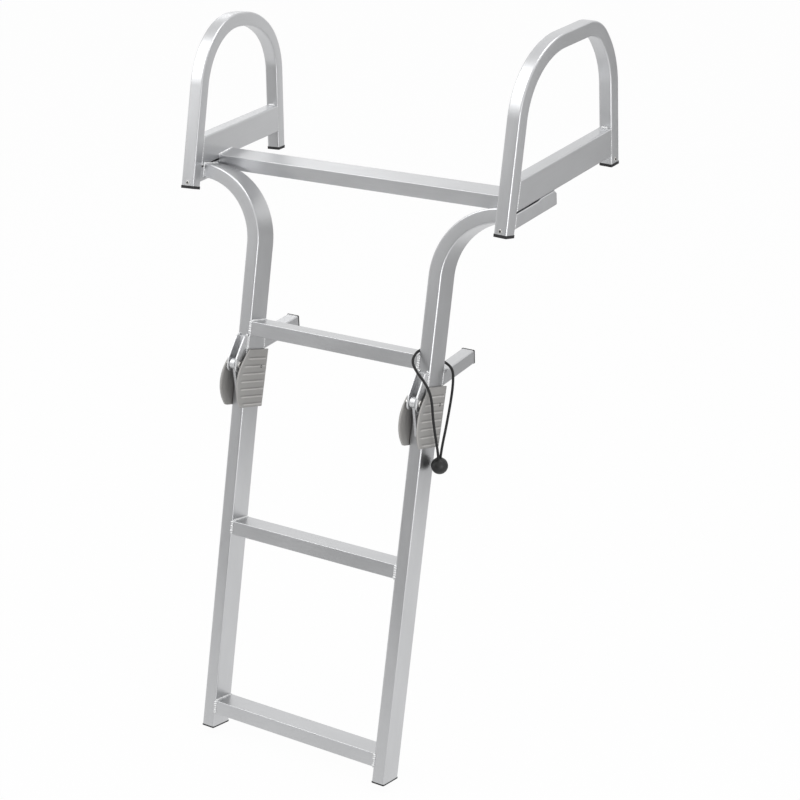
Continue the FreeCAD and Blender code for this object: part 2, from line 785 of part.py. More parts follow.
def cord_path(points):
    """Straight runs joined by the largest arcs that the runs allow."""
    edges = []
    radii = []
    start = points[0]
    for before, point, after in zip(points, points[1:], points[2:]):
        back, ahead = before - point, after - point
        run = min(back.Length, ahead.Length)
        turn = math.pi - back.getAngle(ahead)
        reach = 0.45 * run
        radii.append(reach / math.tan(turn / 2))
        back.normalize()
        ahead.normalize()
        arc_start, arc_end = point + back * reach, point + ahead * reach
        centre = point + (back + ahead).normalize() * (radii[-1] / math.cos(turn / 2))
        middle = centre + (point - centre).normalize() * radii[-1]
        edges.append(Part.LineSegment(start, arc_start).toShape())
        edges.append(Part.Arc(arc_start, middle, arc_end).toShape())
        start = arc_end
    edges.append(Part.LineSegment(start, points[-1]).toShape())
    return Part.Wire(edges), radii


def bungee():
    """Stretch cord bent into a loop, both ends of which go into a plastic ball."""
    points = [level_point(p) for p in BUNGEE_ROUTE]
    path, radii = cord_path(points)
    print("cord radii", [round(r) for r in radii], "length", round(path.Length))
    radius = value("size.bungee_diameter / 2")
    start = path.Edges[0]
    circle = Part.Circle(points[0], start.tangentAt(start.FirstParameter), radius)
    section = Part.Wire(circle.toShape())
    cord = doc.addObject("Part::Feature", "bungee_cord")
    cord.Label = "bungee_cord"
    cord.Shape = path.makePipeShell([section], True, False)
    wanted = math.pi * radius**2 * path.Length
    print("cord volume over section times length", round(cord.Shape.Volume / wanted, 4))
    keep(cord)
    ball = doc.addObject("Part::Sphere", "bungee_ball")
    ball.Label = "bungee_ball"
    ball.setExpression("Radius", "size.ball_radius")
    ball.setExpression("Angle2", "size.ball_top_latitude")
    ball.setExpression("Placement.Base.x", "size.ball_side")
    ball.setExpression("Placement.Base.y", f"-{RAIL_FRONT} - size.ball_lead")
    ball.setExpression("Placement.Base.z", "size.tube_width - size.ball_drop")
    keep(ball)


doc.recompute()
for name, side in SIDES.items():
    handrail(name, side)
    handrail_plate(name, side)
    under_bar(name, side)
    upper_rail(name, side)
    lower_rail(name, side)
    standoff(name, side)
    caps(name, side)
    hinge_bracket(name, side)
    hinge_link(name, side)
    pivot_bolt(name, side)
    hinge_cover(name, side)
    for hand in SIDES.values():
        cover_screw(name, side, hand)
top_step()
step("second_step", "size.second_step_drop")
step("third_step", "size.third_step_drop")
step("fourth_step", "size.fourth_step_drop")
bungee()
doc.recompute()

for item in doc.Objects:
    if "Invalid" in item.State or "Error" in item.State:
        raise RuntimeError(f"{item.Label} is {item.State}")
for part in parts:
    shape = part.Shape
    if shape.isNull() or not shape.isValid() or not shape.Solids:
        raise RuntimeError(f"{part.Label} has no valid solid")

os.makedirs("parts", exist_ok=True)
for part in parts:
    part.Shape.exportStep(f"parts/{part.Label}.step")
print(len(parts), "sub-parts")
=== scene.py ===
# %% [markdown]
# # A folding boarding ladder
#
# The object is a boat's boarding ladder in welded aluminium tube. Two hoops are its
# handrails, four steps lie between two side rails, and the lower half folds up on a
# pair of hinges under grey plastic covers. A short loop of black bungee cord hangs on
# the right rail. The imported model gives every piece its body, its slot and its box.
# This file draws each piece again, in millimetres, in the frame that its maker would
# have used, dresses it in its own finish, and prints how far its box is from the
# packed one.

# %% Load the frame
import json
import math
import random

import bmesh
import bpy
from mathutils import Matrix, Vector


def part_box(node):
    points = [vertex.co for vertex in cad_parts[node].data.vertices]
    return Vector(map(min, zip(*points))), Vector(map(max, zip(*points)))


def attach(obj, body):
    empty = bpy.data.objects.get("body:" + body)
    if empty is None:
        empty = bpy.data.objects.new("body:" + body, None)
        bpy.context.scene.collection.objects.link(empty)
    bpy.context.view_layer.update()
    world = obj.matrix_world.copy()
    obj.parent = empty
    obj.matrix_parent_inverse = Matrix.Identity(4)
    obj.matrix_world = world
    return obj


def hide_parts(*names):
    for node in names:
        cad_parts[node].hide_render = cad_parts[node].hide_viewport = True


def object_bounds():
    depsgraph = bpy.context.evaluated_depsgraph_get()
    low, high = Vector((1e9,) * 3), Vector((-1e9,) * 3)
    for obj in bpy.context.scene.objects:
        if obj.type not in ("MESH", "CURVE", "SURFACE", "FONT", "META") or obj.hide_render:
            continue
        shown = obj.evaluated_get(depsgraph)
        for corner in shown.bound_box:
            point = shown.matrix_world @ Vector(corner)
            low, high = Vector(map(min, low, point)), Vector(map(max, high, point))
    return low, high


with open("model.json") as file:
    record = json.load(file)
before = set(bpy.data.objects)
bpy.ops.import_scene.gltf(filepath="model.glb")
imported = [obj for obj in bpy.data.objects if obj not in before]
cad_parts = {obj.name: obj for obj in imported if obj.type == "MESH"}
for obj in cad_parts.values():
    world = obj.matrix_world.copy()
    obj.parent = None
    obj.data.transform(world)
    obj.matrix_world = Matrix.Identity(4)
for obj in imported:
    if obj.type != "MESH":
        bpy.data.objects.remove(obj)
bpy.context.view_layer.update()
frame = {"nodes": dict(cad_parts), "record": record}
NODES = frame["nodes"]
print("frame:", len(NODES), "nodes")

# %% [markdown]
# ## Sizes
#
# The ladder is cut from two stock tubes, one 22 by 22 mm and one 22 by 44 mm, so most
# places follow from those sizes and from two slopes. Numbers could be read off the
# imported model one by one, but a few sizes and their sums are easier to check, and
# pieces that share a size can't drift apart.

# %% Sizes that several pieces share
MM = 0.001
WIDE, DEEP = 22.0, 44.0
CORNER, STEP_CORNER = 2.6, 0.9
BITE = 1.0  # how far a tube's end sinks into the wall that it is welded to
FLANGE = 2.0  # how far an end cap stands out from its tube
SLOPE = math.radians(15.5)  # of the side rails
LEAN = math.radians(15.0)  # of the handrails' front legs
RAIL_X = (305.0 + WIDE) / 2
INNER_X = RAIL_X - WIDE / 2
RAIL_FRONT = DEEP / math.cos(SLOPE) + DEEP / 2
RAIL_LENGTH = 912.0
SPLIT = 321.5  # where the rails part, measured down their slope
PIVOT = (-17.5, -302.0)  # Y and Z of the hinges' bolts in the leaning frame
SIDES = {"left": -1, "right": 1}
print("rails:", RAIL_LENGTH, "mm long and", 2 * INNER_X, "mm apart")

# %% [markdown]
# ## Drawing frames
#
# A ladder is easy to draw upright and flat, and awkward to draw leaning. So there are
# three drawing frames: one stands level, one leans with the rails, and one turns with
# each handrail, which splays outward and tips a little. Each is a matrix that also
# turns millimetres into metres, and a piece is drawn in one with plain numbers.

# %% The three drawing frames
HOOP_AT = (276.0, -30.0)
SPLAY = 6.7  # degrees
PITCH = {"left": -3.8, "right": 2.87}  # degrees, from the level

LEVEL = Matrix.Scale(MM, 4) @ Matrix.Translation((0, -RAIL_FRONT, WIDE))
LADDER = LEVEL @ Matrix.Rotation(-SLOPE, 4, "X")


def shift(frame_matrix, *move):
    """A drawing frame with its origin moved."""
    return frame_matrix @ Matrix.Translation(move)


def hoop_frame(name):
    """Y runs back along a splayed handrail, and Z up its back leg."""
    side = SIDES[name]
    turn = Matrix.Rotation(math.radians(-side * SPLAY), 4, "Z")
    tip = Matrix.Rotation(math.radians(PITCH[name]), 4, "X")
    return shift(LEVEL, side * HOOP_AT[0], HOOP_AT[1], 0) @ turn @ tip


HOOP = {name: hoop_frame(name) for name in SIDES}
print("the rails' front plane is", round(RAIL_FRONT, 2), "mm in front of the origin")

# %% [markdown]
# ## Shader maths
#
# Materials here are worked out with arithmetic on textures. Blender does that with
# Math nodes, which are slow to read as a list, so one small class wraps a socket and
# turns an ordinary Python expression into those nodes. The reflected forms let a
# plain number stand first, as in 1 - mask. Every node comes from one function, which
# takes its type, its settings and what goes into its sockets.


# %% Expressions that build nodes
def add_node(tree, kind, settings=None, sockets=None):
    """A node of a kind: its settings first, then the values or wires of its sockets."""
    node = tree.nodes.new(kind)
    for name, setting in (settings or {}).items():
        setattr(node, name, setting)
    for name, given in (sockets or {}).items():
        if isinstance(given, Wire):
            tree.links.new(given.socket, node.inputs[name])
        else:
            node.inputs[name].default_value = given
    return node


class Wire:
    """A node's output, on which + - and * add Math nodes."""

    def __init__(self, tree, socket):
        self.tree, self.socket = tree, socket

    def maths(self, operation, *operands):
        sockets = dict(enumerate(operands))
        node = add_node(self.tree, "ShaderNodeMath", {"operation": operation}, sockets)
        return Wire(self.tree, node.outputs[0])

    def __add__(self, other):
        return self.maths("ADD", self, other)

    def __sub__(self, other):
        return self.maths("SUBTRACT", self, other)

    def __rsub__(self, other):
        return self.maths("SUBTRACT", other, self)

    def __mul__(self, other):
        return self.maths("MULTIPLY", self, other)

    __radd__ = __add__
    __rmul__ = __mul__

    def clamp(self, low, high):
        """Maps low..high to 0..1 with soft ends."""
        sockets = {"Value": self, "From Min": low, "From Max": high}
        settings = {"interpolation_type": "SMOOTHSTEP"}
        node = add_node(self.tree, "ShaderNodeMapRange", settings, sockets)
        return Wire(self.tree, node.outputs[0])


print("a Wire adds nodes for + - * and clamp")


# %% [markdown]
# ### A finish
#
# A material is a Principled surface with textures behind it. The node editor is good
# for looking at one, but here nine are made that share their parts. So a small class
# holds what each of them needs: a place to look a texture up, noise, bump, a mix of
# two colours, and a way to set the surface's sockets.


# %% A finish
class Finish:
    """One material: a Principled surface and the textures that drive it."""

    def __init__(self, name, **surface):
        self.material = bpy.data.materials.new(name)
        self.material.use_nodes = True
        self.tree = self.material.node_tree
        self.surface = self.tree.nodes["Principled BSDF"]
        self.set(**surface)

    def wire(self, kind, output, settings=None, **sockets):
        """A node's output; sockets are named with _ for a space."""
        named = {name.replace("_", " "): given for name, given in sockets.items()}
        return Wire(self.tree, add_node(self.tree, kind, settings, named).outputs[output])

    def set(self, **surface):
        """Values or wires for the Principled surface's own sockets."""
        for name, given in surface.items():
            socket = self.surface.inputs[name.replace("_", " ")]
            if isinstance(given, Wire):
                self.tree.links.new(given.socket, socket)
            else:
                socket.default_value = given

    def place(self, stretch=(1, 1, 1), layer=None):
        """Where a point is: in the object's space, or on a sheet laid along the piece."""
        if layer:
            here = self.wire("ShaderNodeUVMap", 0, {"uv_map": layer})
        else:
            here = self.wire("ShaderNodeTexCoord", "Object")
        return self.wire("ShaderNodeMapping", 0, Vector=here, Scale=stretch)

    def noise(self, vector, scale, detail=3.0):
        sockets = {"Scale": scale, "Detail": detail, "Roughness": 0.55}
        return self.wire("ShaderNodeTexNoise", 0, Vector=vector, **sockets)

    def bump(self, height, distance, strength):
        sockets = {"Distance": distance, "Strength": strength}
        return self.wire("ShaderNodeBump", 0, Height=height, **sockets)

    def mix(self, mask, low, high):
        """A colour between two, by a mask."""
        sockets = {0: mask, 6: (*low, 1), 7: (*high, 1)}
        node = add_node(self.tree, "ShaderNodeMix", {"data_type": "RGBA"}, sockets)
        return Wire(self.tree, node.outputs[2])


def tinted(colour, share):
    """A colour made darker or lighter, and never brighter than white."""
    return [min(1.0, c * share) for c in colour]


print("a darker grey:", tinted((0.5, 0.5, 0.5), 0.9))

# %% [markdown]
# ## Camera
#
# The camera was found by matching the corners of the tubes in the picture to the same
# corners on the model, to about a pixel. It looks down from the front right through a
# long lens and is tilted by two degrees. Its place is written as a target, two angles
# and a distance, which are easier to adjust one by one than a matrix.

# %% Camera at the photograph's place
TARGET = Vector((78.45, -67.66, -316.96)) * MM
AZIMUTH, ELEVATION, ROLL = 0.55142, 0.42249, -0.0335
DISTANCE = 2697.7 * MM
FOCAL, SENSOR, FAR = 77.9, 36.0, 50.0
away = Vector((
    math.sin(AZIMUTH) * math.cos(ELEVATION),
    -math.cos(AZIMUTH) * math.cos(ELEVATION),
    math.sin(ELEVATION),
))
lens = bpy.data.cameras.new("camera")
lens.lens, lens.sensor_width, lens.clip_end = FOCAL, SENSOR, FAR
camera = bpy.data.objects.new("camera", lens)
bpy.context.collection.objects.link(camera)
upright = away.to_track_quat("Z", "Y").to_matrix().to_4x4()
stand = Matrix.Translation(TARGET + away * DISTANCE)
camera.matrix_world = stand @ upright @ Matrix.Rotation(ROLL, 4, "Z")
bpy.context.scene.camera = camera
bpy.context.scene.view_settings.view_transform = "Standard"
print("camera at", [round(v, 4) for v in camera.matrix_world.translation])

# %% [markdown]
# ## Metals
#
# The tube is extruded and satin anodised: a grey metal with very fine lines along its
# length and soft, cloudy reflections. The sheet called "grain", which every tube
# carries, gives the distance round it and along it, so the lines follow each bend,
# where a texture laid out in space would cut across it. Weld beads are brighter and
# rougher, and the hinge parts are tumbled smooth, so both have an even grain.

# %% Metals
LINES, CLOUDS = (2600, 9, 1), (16, 7, 1)


def aluminium(name, colour, roughness):
    """Extruded tube: fine lines along the grain, under a soft cloudiness."""
    finish = Finish(name, Metallic=1.0)
    lines = finish.noise(finish.place(LINES, "grain"), 1.0, 4.0)
    cloud = finish.noise(finish.place(CLOUDS, "grain"), 1.0, 2.0)
    tone = lines * 0.45 + cloud * 0.55
    finish.set(
        Base_Color=finish.mix(tone.clamp(0.3, 0.7), tinted(colour, 0.94), tinted(colour, 1.05)),
        Roughness=(lines - 0.5) * 0.14 + (cloud - 0.5) * 0.08 + roughness,
        Normal=finish.bump(lines, 0.00002, 0.5),
    )
    return finish


def rough_metal(name, colour, roughness, grain, depth):
    """Metal with an even grain in every direction."""
    finish = Finish(name, Metallic=1.0)
    pits = finish.noise(finish.place(), grain, 4.0)
    finish.set(
        Base_Color=finish.mix(pits.clamp(0.35, 0.65), tinted(colour, 0.86), tinted(colour, 1.06)),
        Roughness=(pits - 0.5) * 0.3 + roughness,
        Normal=finish.bump(pits, depth, 0.6),
    )
    return finish


TUBE = aluminium("satin_aluminium", (0.565, 0.57, 0.58), 0.34)
WELD = rough_metal("weld_bead", (0.7, 0.705, 0.71), 0.38, 900, 0.0001)
CAST = rough_metal("tumbled_aluminium", (0.69, 0.695, 0.705), 0.5, 500, 0.00012)
STEEL = rough_metal("stainless_bolt", (0.68, 0.67, 0.65), 0.2, 700, 0.00003)
# The screws' near-black is painted shade: it stands for the shaded recess that each head sits in.
SCREW = rough_metal("screw_painted_shade", (0.07, 0.07, 0.07), 0.45, 700, 0.00003)
print("metals:", [finish.material.name for finish in (TUBE, WELD, CAST, STEEL, SCREW)])

# %% [markdown]
# ## Plastics
#
# The covers, caps and ball are moulded, with the fine spark texture of the mould and a faint
# mottle. On the covers, the ribs' crests and the front rim carry a painted highlight, and painted
# shade lies just above each rib and on the inside. Where that goes is known from the shape, so it
# is worked out with the mesh and stored on its sheet, and the finish only reads it.


# %% Plastics
def moulded(name, colour, roughness, grain, depth, painted_rib_light=False):
    """Plastic. With the painted rib light on, the sheet "grain" gives each point's painted
    highlight and shade.
    """
    finish = Finish(name)
    pits = finish.noise(finish.place(), grain)
    mottle = finish.noise(finish.place(), 45.0)
    low, high, shade = 0.92, 1.08, mottle.clamp(0.3, 0.7)
    # The sheet carries painted highlights on the ribs' crests and rim, and painted shade above the
    # ribs and inside.
    if painted_rib_light:
        sheet = finish.wire("ShaderNodeSeparateXYZ", 0, Vector=finish.place(layer="grain"))
        low, high, shade = 0.5, 1.9, (sheet + mottle * 0.06).clamp(-0.15, 1.3)
    finish.set(
        Base_Color=finish.mix(shade, tinted(colour, low), tinted(colour, high)),
        Roughness=(pits - 0.5) * 0.2 + (mottle - 0.5) * 0.15 + roughness,
        Normal=finish.bump(pits, depth, 0.5),
    )
    return finish


# The cover's finish reads its painted rib highlights and shade from the sheet.
COVER = moulded("grey_cover_moulding", (0.355, 0.348, 0.338), 0.42, 1500, 0.00006, True)
RUBBER = moulded("black_end_cap", (0.011, 0.011, 0.012), 0.62, 1200, 0.00005)
BALL = moulded("black_ball_plastic", (0.009, 0.0093, 0.0096), 0.45, 900, 0.00008)
print("plastics:", [finish.material.name for finish in (COVER, RUBBER, BALL)])


# %% [markdown]
# ### Braid
#
# The cord's cover is woven from fine black strands. Modelled strands would cost many
# thousands of faces on a cord four millimetres thick. Diagonal bands with a little
# fuzz, as colour and as bump, look the same from where the camera stands.


# %% Braid
def braid(name, colour):
    """Woven cover: diagonal strands, as dark and light checks along the cord."""
    finish = Finish(name, Roughness=0.75)
    bands = {"Scale": 420.0, "Distortion": 1.5, "Detail": 2.0}
    over = finish.wire(
        "ShaderNodeTexWave", 1, {"bands_direction": "DIAGONAL"}, Vector=finish.place(), **bands
    )
    fuzz = finish.noise(finish.place(), 1400.0, 4.0)
    weave = over * 0.65 + fuzz * 0.35
    finish.set(
        Base_Color=finish.mix(weave.clamp(0.25, 0.75), tinted(colour, 0.4), tinted(colour, 1.5)),
        Normal=finish.bump(weave, 0.0003, 0.8),
    )
    return finish


CORD = braid("black_braid", (0.014, 0.014, 0.015))
print("braid:", CORD.material.name)

# %% [markdown]
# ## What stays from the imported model
#
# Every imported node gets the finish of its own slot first. All of them are replaced
# below by pieces with rounded edges, but a node that is forgotten would still look
# like metal or plastic.

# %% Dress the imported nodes
DRESS = {
    "aluminium": TUBE, "hinge_aluminium": CAST, "bolt_steel": STEEL, "cover_plastic": COVER,
    "cap_plastic": RUBBER, "bungee_cover": CORD, "ball_plastic": BALL,
}
SLOT = {}
for part in frame["record"]["subparts"]:
    node = NODES[part["node"]]
    SLOT[part["node"]] = part["material_slot"]
    node.data.materials.clear()
    node.data.materials.append(DRESS[part["material_slot"]].material)
BODY = {
    node: body
    for body, nodes in frame["record"]["behaviour"]["bodies"].items()
    for node in nodes
}


# %% [markdown]
# ### From mesh to piece
#
# A new piece has to know three things that its node knew: the moving body that
# carries it, its material slot, and the node that it stands for. Plain smooth
# shading would smear a tube's wide faces into its narrow rounded corners, and flat
# shading would show the corners' facets. Weighted normals keep the wide faces flat
# and the corners round.


# %% From mesh to piece
def to_mesh(name, mesh):
    """A bmesh as mesh data."""
    data = bpy.data.meshes.new(name)
    mesh.to_mesh(data)
    mesh.free()
    return data


def make_piece(name, mesh, body, finish, nodes=()):
    """Puts a mesh in the scene, on its body, in its finish."""
    piece = bpy.data.objects.new(name, mesh)
    bpy.context.collection.objects.link(piece)
    mesh.materials.clear()
    mesh.materials.append(finish.material)
    for face in mesh.polygons:
        face.use_smooth = True
    weigh = piece.modifiers.new("flat faces stay flat", "WEIGHTED_NORMAL")
    weigh.keep_sharp = True
    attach(piece, body)
    if nodes:
        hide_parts(*nodes)
    return piece


def remake(node, name, mesh, finish=None):
    """A new piece in a node's stead, on its body and in its slot."""
    gap = 0.0
    for pick, was in zip((min, max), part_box(node)):
        corner = [pick(v.co[i] for v in mesh.verts) for i in range(3)]
        gap = max(gap, *(abs(a - b) / MM for a, b in zip(corner, was)))
    print(f"{name}: {len(mesh.faces)} faces, box within {gap:.1f} mm of its node's")
    slot_name = SLOT[node]
    finish = finish or DRESS[slot_name]
    return make_piece(name, to_mesh(name, mesh), BODY[node], finish, [node])


print("pieces ride on", sorted(set(BODY.values())))

# %% [markdown]
# ## Tubes
#
# A bent square tube could be a curve with a bevel, but a curve twists its section at
# corners and can't end on a slanting wall. So each tube here is a rounded section
# carried along stations: matrices whose X and Y columns are the section's, placed
# every three degrees round each bend. The rims at both ends are marked sharp, or the
# end face's direction would bleed along the corners as a false shadow.

# %% Sections and sweeps
QUARTERS = ((1, 1), (-1, 1), (-1, -1), (1, -1))
CORNER_STEPS = 4


def rounded_section(width, depth, radius=CORNER):
    """Points round a rounded rectangle about the origin, anticlockwise."""
    points = []
    for quarter, (sx, sy) in enumerate(QUARTERS):
        centre = Vector((sx * (width / 2 - radius), sy * (depth / 2 - radius)))
        for i in range(CORNER_STEPS + 1):
            angle = quarter * math.pi / 2 + i / CORNER_STEPS * math.pi / 2
            points.append(centre + Vector((math.cos(angle), math.sin(angle))) * radius)
    return points


def running_length(points):
    """The distance along points from the first to each."""
    lengths = [0.0]
    for a, b in zip(points, points[1:]):
        lengths.append(lengths[-1] + (b - a).length)
    return lengths


def sweep(section, stations):
    """Skin over a section carried along stations, closed at both ends by sharp rims.

    The sheet "grain" holds each point's distance round the tube and along it, in metres.
    """
    mesh = bmesh.new()
    grain = mesh.loops.layers.uv.new("grain")
    rings = [[mesh.verts.new(m @ Vector((*p, 0))) for p in section] for m in stations]
    count = len(section)
    along = running_length([m.translation for m in stations])
    girth = [length * MM for length in running_length([*section, section[0]])]
    for k in range(len(rings) - 1):
        for i in range(count):
            j = (i + 1) % count
            corners = (rings[k][i], rings[k][j], rings[k + 1][j], rings[k + 1][i])
            spots = ((i, k), (i + 1, k), (i + 1, k + 1), (i, k + 1))
            for loop, (g, s) in zip(mesh.faces.new(corners).loops, spots):
                loop[grain].uv = (girth[g], along[s])
    for ring in (rings[0][::-1], rings[-1]):
        for loop in mesh.faces.new(ring).loops:
            loop[grain].uv = (loop.vert.co.x, loop.vert.co.z)
            loop.edge.smooth = False
    bmesh.ops.recalc_face_normals(mesh, faces=mesh.faces)
    return mesh


square = rounded_section(WIDE, WIDE)
print("square tube's section:", len(square), "points")

# %% [markdown]
# ### Bent paths
#
# A tube bender leaves straight runs joined by round arcs, so a path is written as the
# corners where the runs would cross, each with the radius that rounds it. That is
# also how one would measure the real tube. The path is flat, and a plane's matrix
# stands it up in a drawing frame. A station has its Z axis along the tube.


# %% Bent paths
BEND_STEP = math.radians(3)
XZ_PLANE = Matrix(((1, 0, 0, 0), (0, 0, -1, 0), (0, 1, 0, 0), (0, 0, 0, 1)))
YZ_PLANE = Matrix(((0, 0, 1, 0), (1, 0, 0, 0), (0, 1, 0, 0), (0, 0, 0, 1)))


def arc(before, corner, after, radius, step):
    """Where an arc in a corner starts, its centre, its turn, and the steps it needs."""
    come, go = (corner - before).normalized(), (after - corner).normalized()
    turn = come.angle_signed(go)
    start = corner - come * (radius * math.tan(abs(turn) / 2))
    centre = start + Vector((-come.y, come.x)) * (-radius if turn > 0 else radius)
    return start, centre, turn, max(2, math.ceil(abs(turn) / step))


def bend_path(corners):
    """Points and headings along straight runs joined by arcs, in a plane."""
    flat = [Vector(c[:2]) for c in corners]
    path = [(flat[0], (flat[1] - flat[0]).normalized())]
    for i in range(1, len(corners) - 1):
        start, centre, turn, steps = arc(*flat[i - 1:i + 2], corners[i][2], BEND_STEP)
        come = (flat[i] - flat[i - 1]).normalized()
        for k in range(steps + 1):
            spin = Matrix.Rotation(-turn * k / steps, 2)
            path.append((centre + spin @ (start - centre), spin @ come))
    path.append((flat[-1], (flat[-1] - flat[-2]).normalized()))
    return path


def stations_in_plane(corners, plane):
    """Stations along a bent path, with X in the plane, left of the heading, and Y out of it."""
    stations = []
    for spot, heading in bend_path(corners):
        stations.append(plane @ Matrix((
            (-heading.y, 0, heading.x, spot.x),
            (heading.x, 0, heading.y, spot.y),
            (0, 1, 0, 0),
            (0, 0, 0, 1),
        )))
    return stations


print("a right-angle bend has", math.ceil(math.pi / 2 / BEND_STEP) + 1, "stations")

# %% [markdown]
# ## Handrail hoops
#
# Each handrail is one length of square tube: a front leg that leans back, a bend, a
# short level crown, and rear bends down to an upright back leg. The two were bent by
# hand and differ at the back, so the bends there are kept for each side: a corner's
# place and the radius that rounds it.

# %% Handrail hoops
HOOP_DEPTH, HOOP_HEIGHT, FRONT_BEND = 300.0, 223.0, 117.0
BACK_LEG = HOOP_DEPTH - WIDE / 2
CROWN = HOOP_HEIGHT - WIDE / 2
LEG_DROP = 30.0  # of the front leg, below the top step's upper face
FOOT = (
    -LEG_DROP * math.tan(LEAN) + WIDE / 2 * math.cos(LEAN),
    -LEG_DROP - WIDE / 2 * math.sin(LEAN),
)
BACK_FOOT = {"left": -26.5, "right": -12.0}
REAR_BENDS = {
    "left": [(214.0, 203.0, 140.0), (BACK_LEG, 155.0, 92.0)],
    "right": [(248.0, CROWN, 50.0), (BACK_LEG, 152.0, 125.0)],
}
for name in SIDES:
    line = [
        (FOOT[0] + FLANGE * math.sin(LEAN), FOOT[1] + FLANGE * math.cos(LEAN)),
        (WIDE / 2 / math.cos(LEAN) + CROWN * math.tan(LEAN), CROWN, FRONT_BEND),
        *REAR_BENDS[name],
        (BACK_LEG, BACK_FOOT[name] + FLANGE),
    ]
    tube = sweep(square, stations_in_plane(line, HOOP[name] @ YZ_PLANE))
    remake(f"handrail_{name}", f"handrail_tube_{name}", tube)

# %% [markdown]
# ## Plates between the hoops' legs
#
# A deep tube lies on edge between each handrail's legs and rises a little to the
# rear. Its front end is cut to the leaning leg. Rather than cut a mesh, each of the
# tube's end stations is slid along its run until the whole section lies on the
# face of the leg there.


# %% Plates
def land_on(station, direction, point, normal):
    """A station slid along a direction so that its whole section lies on a plane."""
    def slide(vector, offset=0.0):
        return vector - direction * ((vector.dot(normal) - offset) / direction.dot(normal))

    landed = station.copy()
    for i in (0, 1):
        landed.col[i] = slide(station.col[i].to_3d()).to_4d()
        landed[3][i] = 0
    landed.col[3] = slide(station.translation, point.dot(normal)).to_4d()
    landed[3][3] = 1
    return landed


PLATE_TILT = math.radians(1.2)
PLATE_BACK = HOOP_DEPTH - WIDE
PLATE_LOW, PLATE_HIGH = 3.0, 3.0 + DEEP / math.cos(PLATE_TILT)
PLATE_START = 60.0  # any Y will do, because the station is slid from there to the leg
deep_upright = rounded_section(DEEP, WIDE)


def plate_z(level, y):
    """Height of a line along the plate."""
    return level - (PLATE_BACK - y) * math.tan(PLATE_TILT)


def leg_y(z):
    """Y of the front leg's back face."""
    return WIDE / math.cos(LEAN) + z * math.tan(LEAN)


for name in SIDES:
    middle = (PLATE_LOW + PLATE_HIGH) / 2
    line = [(y, plate_z(middle, y)) for y in (PLATE_START, PLATE_BACK + BITE)]
    stations = stations_in_plane(line, HOOP[name] @ YZ_PLANE)
    run = (stations[1].translation - stations[0].translation).normalized()
    turn = HOOP[name].to_3x3()
    leans, upright = Vector((0, math.cos(LEAN), -math.sin(LEAN))), Vector((0, 1, 0))
    for i, y, facing in ((0, leg_y(0) - BITE, leans), (1, PLATE_BACK + BITE, upright)):
        point = HOOP[name] @ Vector((0, y, 0))
        stations[i] = land_on(stations[i], run, point, (turn @ facing).normalized())
    plate = sweep(deep_upright, stations)
    remake(f"handrail_plate_{name}", f"handrail_plate_tube_{name}", plate)

# %% [markdown]
# ## Short bars under the plates
#
# A short square bar runs back from each front leg under the plate. It could be a
# swept tube too, but its top has a little ramp and a cut corner, which a sweep can't
# give. So it is an outline with thickness, and so is every flat part of the hinges.
# A bevel rounds its rims and corners. It works best on a plain outline, because a
# corner that is already made of tiny edges leaves it no room.


# %% Outlines with thickness
def circle(centre, radius, count=32):
    """Points round a circle."""
    turns = [2 * math.pi * i / count for i in range(count)]
    return [(centre[0] + radius * math.cos(a), centre[1] + radius * math.sin(a)) for a in turns]


def prism(outline, thickness, plane, bevel, sharp=35.0, steps=2):
    """A plate with an outline in a plane; edges sharper than an angle are rounded over."""
    mesh = bmesh.new()
    low, high = [
        [mesh.verts.new((p[0], p[1], z)) for p in outline] for z in (-thickness / 2, thickness / 2)
    ]
    mesh.faces.new(low[::-1])
    mesh.faces.new(high)
    for i in range(len(outline)):
        j = (i + 1) % len(outline)
        mesh.faces.new((low[i], low[j], high[j], high[i]))
    bmesh.ops.recalc_face_normals(mesh, faces=mesh.faces)
    edges = [e for e in mesh.edges if e.calc_face_angle(0) > math.radians(sharp)]
    bmesh.ops.bevel(
        mesh, geom=edges, offset=bevel, offset_type="OFFSET", segments=steps,
        profile=0.5, affect="EDGES", clamp_overlap=True,
    )
    grain = mesh.loops.layers.uv.new("grain")
    for face in mesh.faces:
        for loop in face.loops:
            loop[grain].uv = (loop.vert.co.x * MM, loop.vert.co.y * MM)
    bmesh.ops.transform(mesh, matrix=plane, verts=mesh.verts)
    if plane.determinant() < 0:
        bmesh.ops.reverse_faces(mesh, faces=mesh.faces)
    return mesh


trial = prism(circle((0, 0), 10, 6), 4.0, Matrix.Identity(4), bevel=0.5)
print("a hexagon with rounded rims has", len(trial.faces), "faces")
trial.free()

# %% [markdown]
# ### The bars' outline
#
# Seen from the side, the bar clears the plate near the leg, rises to touch it
# further back, and has its upper rear corner cut off. Its front end is sunk into the
# leg, deeper than the bevel reaches, so that the seam there is straight.

# %% Bars
BAR_TOP = PLATE_LOW - 2.0
BAR_LOW = BAR_TOP - WIDE
BAR_BACK, BAR_CUT = 126.0, 6.0
RAMP_BACK, RAMP_FRONT = 85.0, 78.0
NEAR_LEG = 20.0
SUNK = BITE + 2.4
low_y, high_y = [leg_y(plate_z(level, NEAR_LEG)) for level in (BAR_LOW, BAR_TOP)]
outline = [
    (low_y - SUNK, plate_z(BAR_LOW, low_y)),
    (BAR_BACK, plate_z(BAR_LOW, BAR_BACK)),
    (BAR_BACK, plate_z(PLATE_LOW, BAR_BACK) - BAR_CUT),
    (BAR_BACK - BAR_CUT, plate_z(PLATE_LOW, BAR_BACK - BAR_CUT)),
    (RAMP_BACK, plate_z(PLATE_LOW, RAMP_BACK)),
    (RAMP_FRONT, plate_z(BAR_TOP, RAMP_FRONT)),
    (high_y - SUNK, plate_z(BAR_TOP, high_y)),
]
for name in SIDES:
    bar = prism(outline, WIDE, HOOP[name] @ YZ_PLANE, bevel=2.2, sharp=60, steps=4)
    remake(f"under_bar_{name}", f"under_bar_tube_{name}", bar)

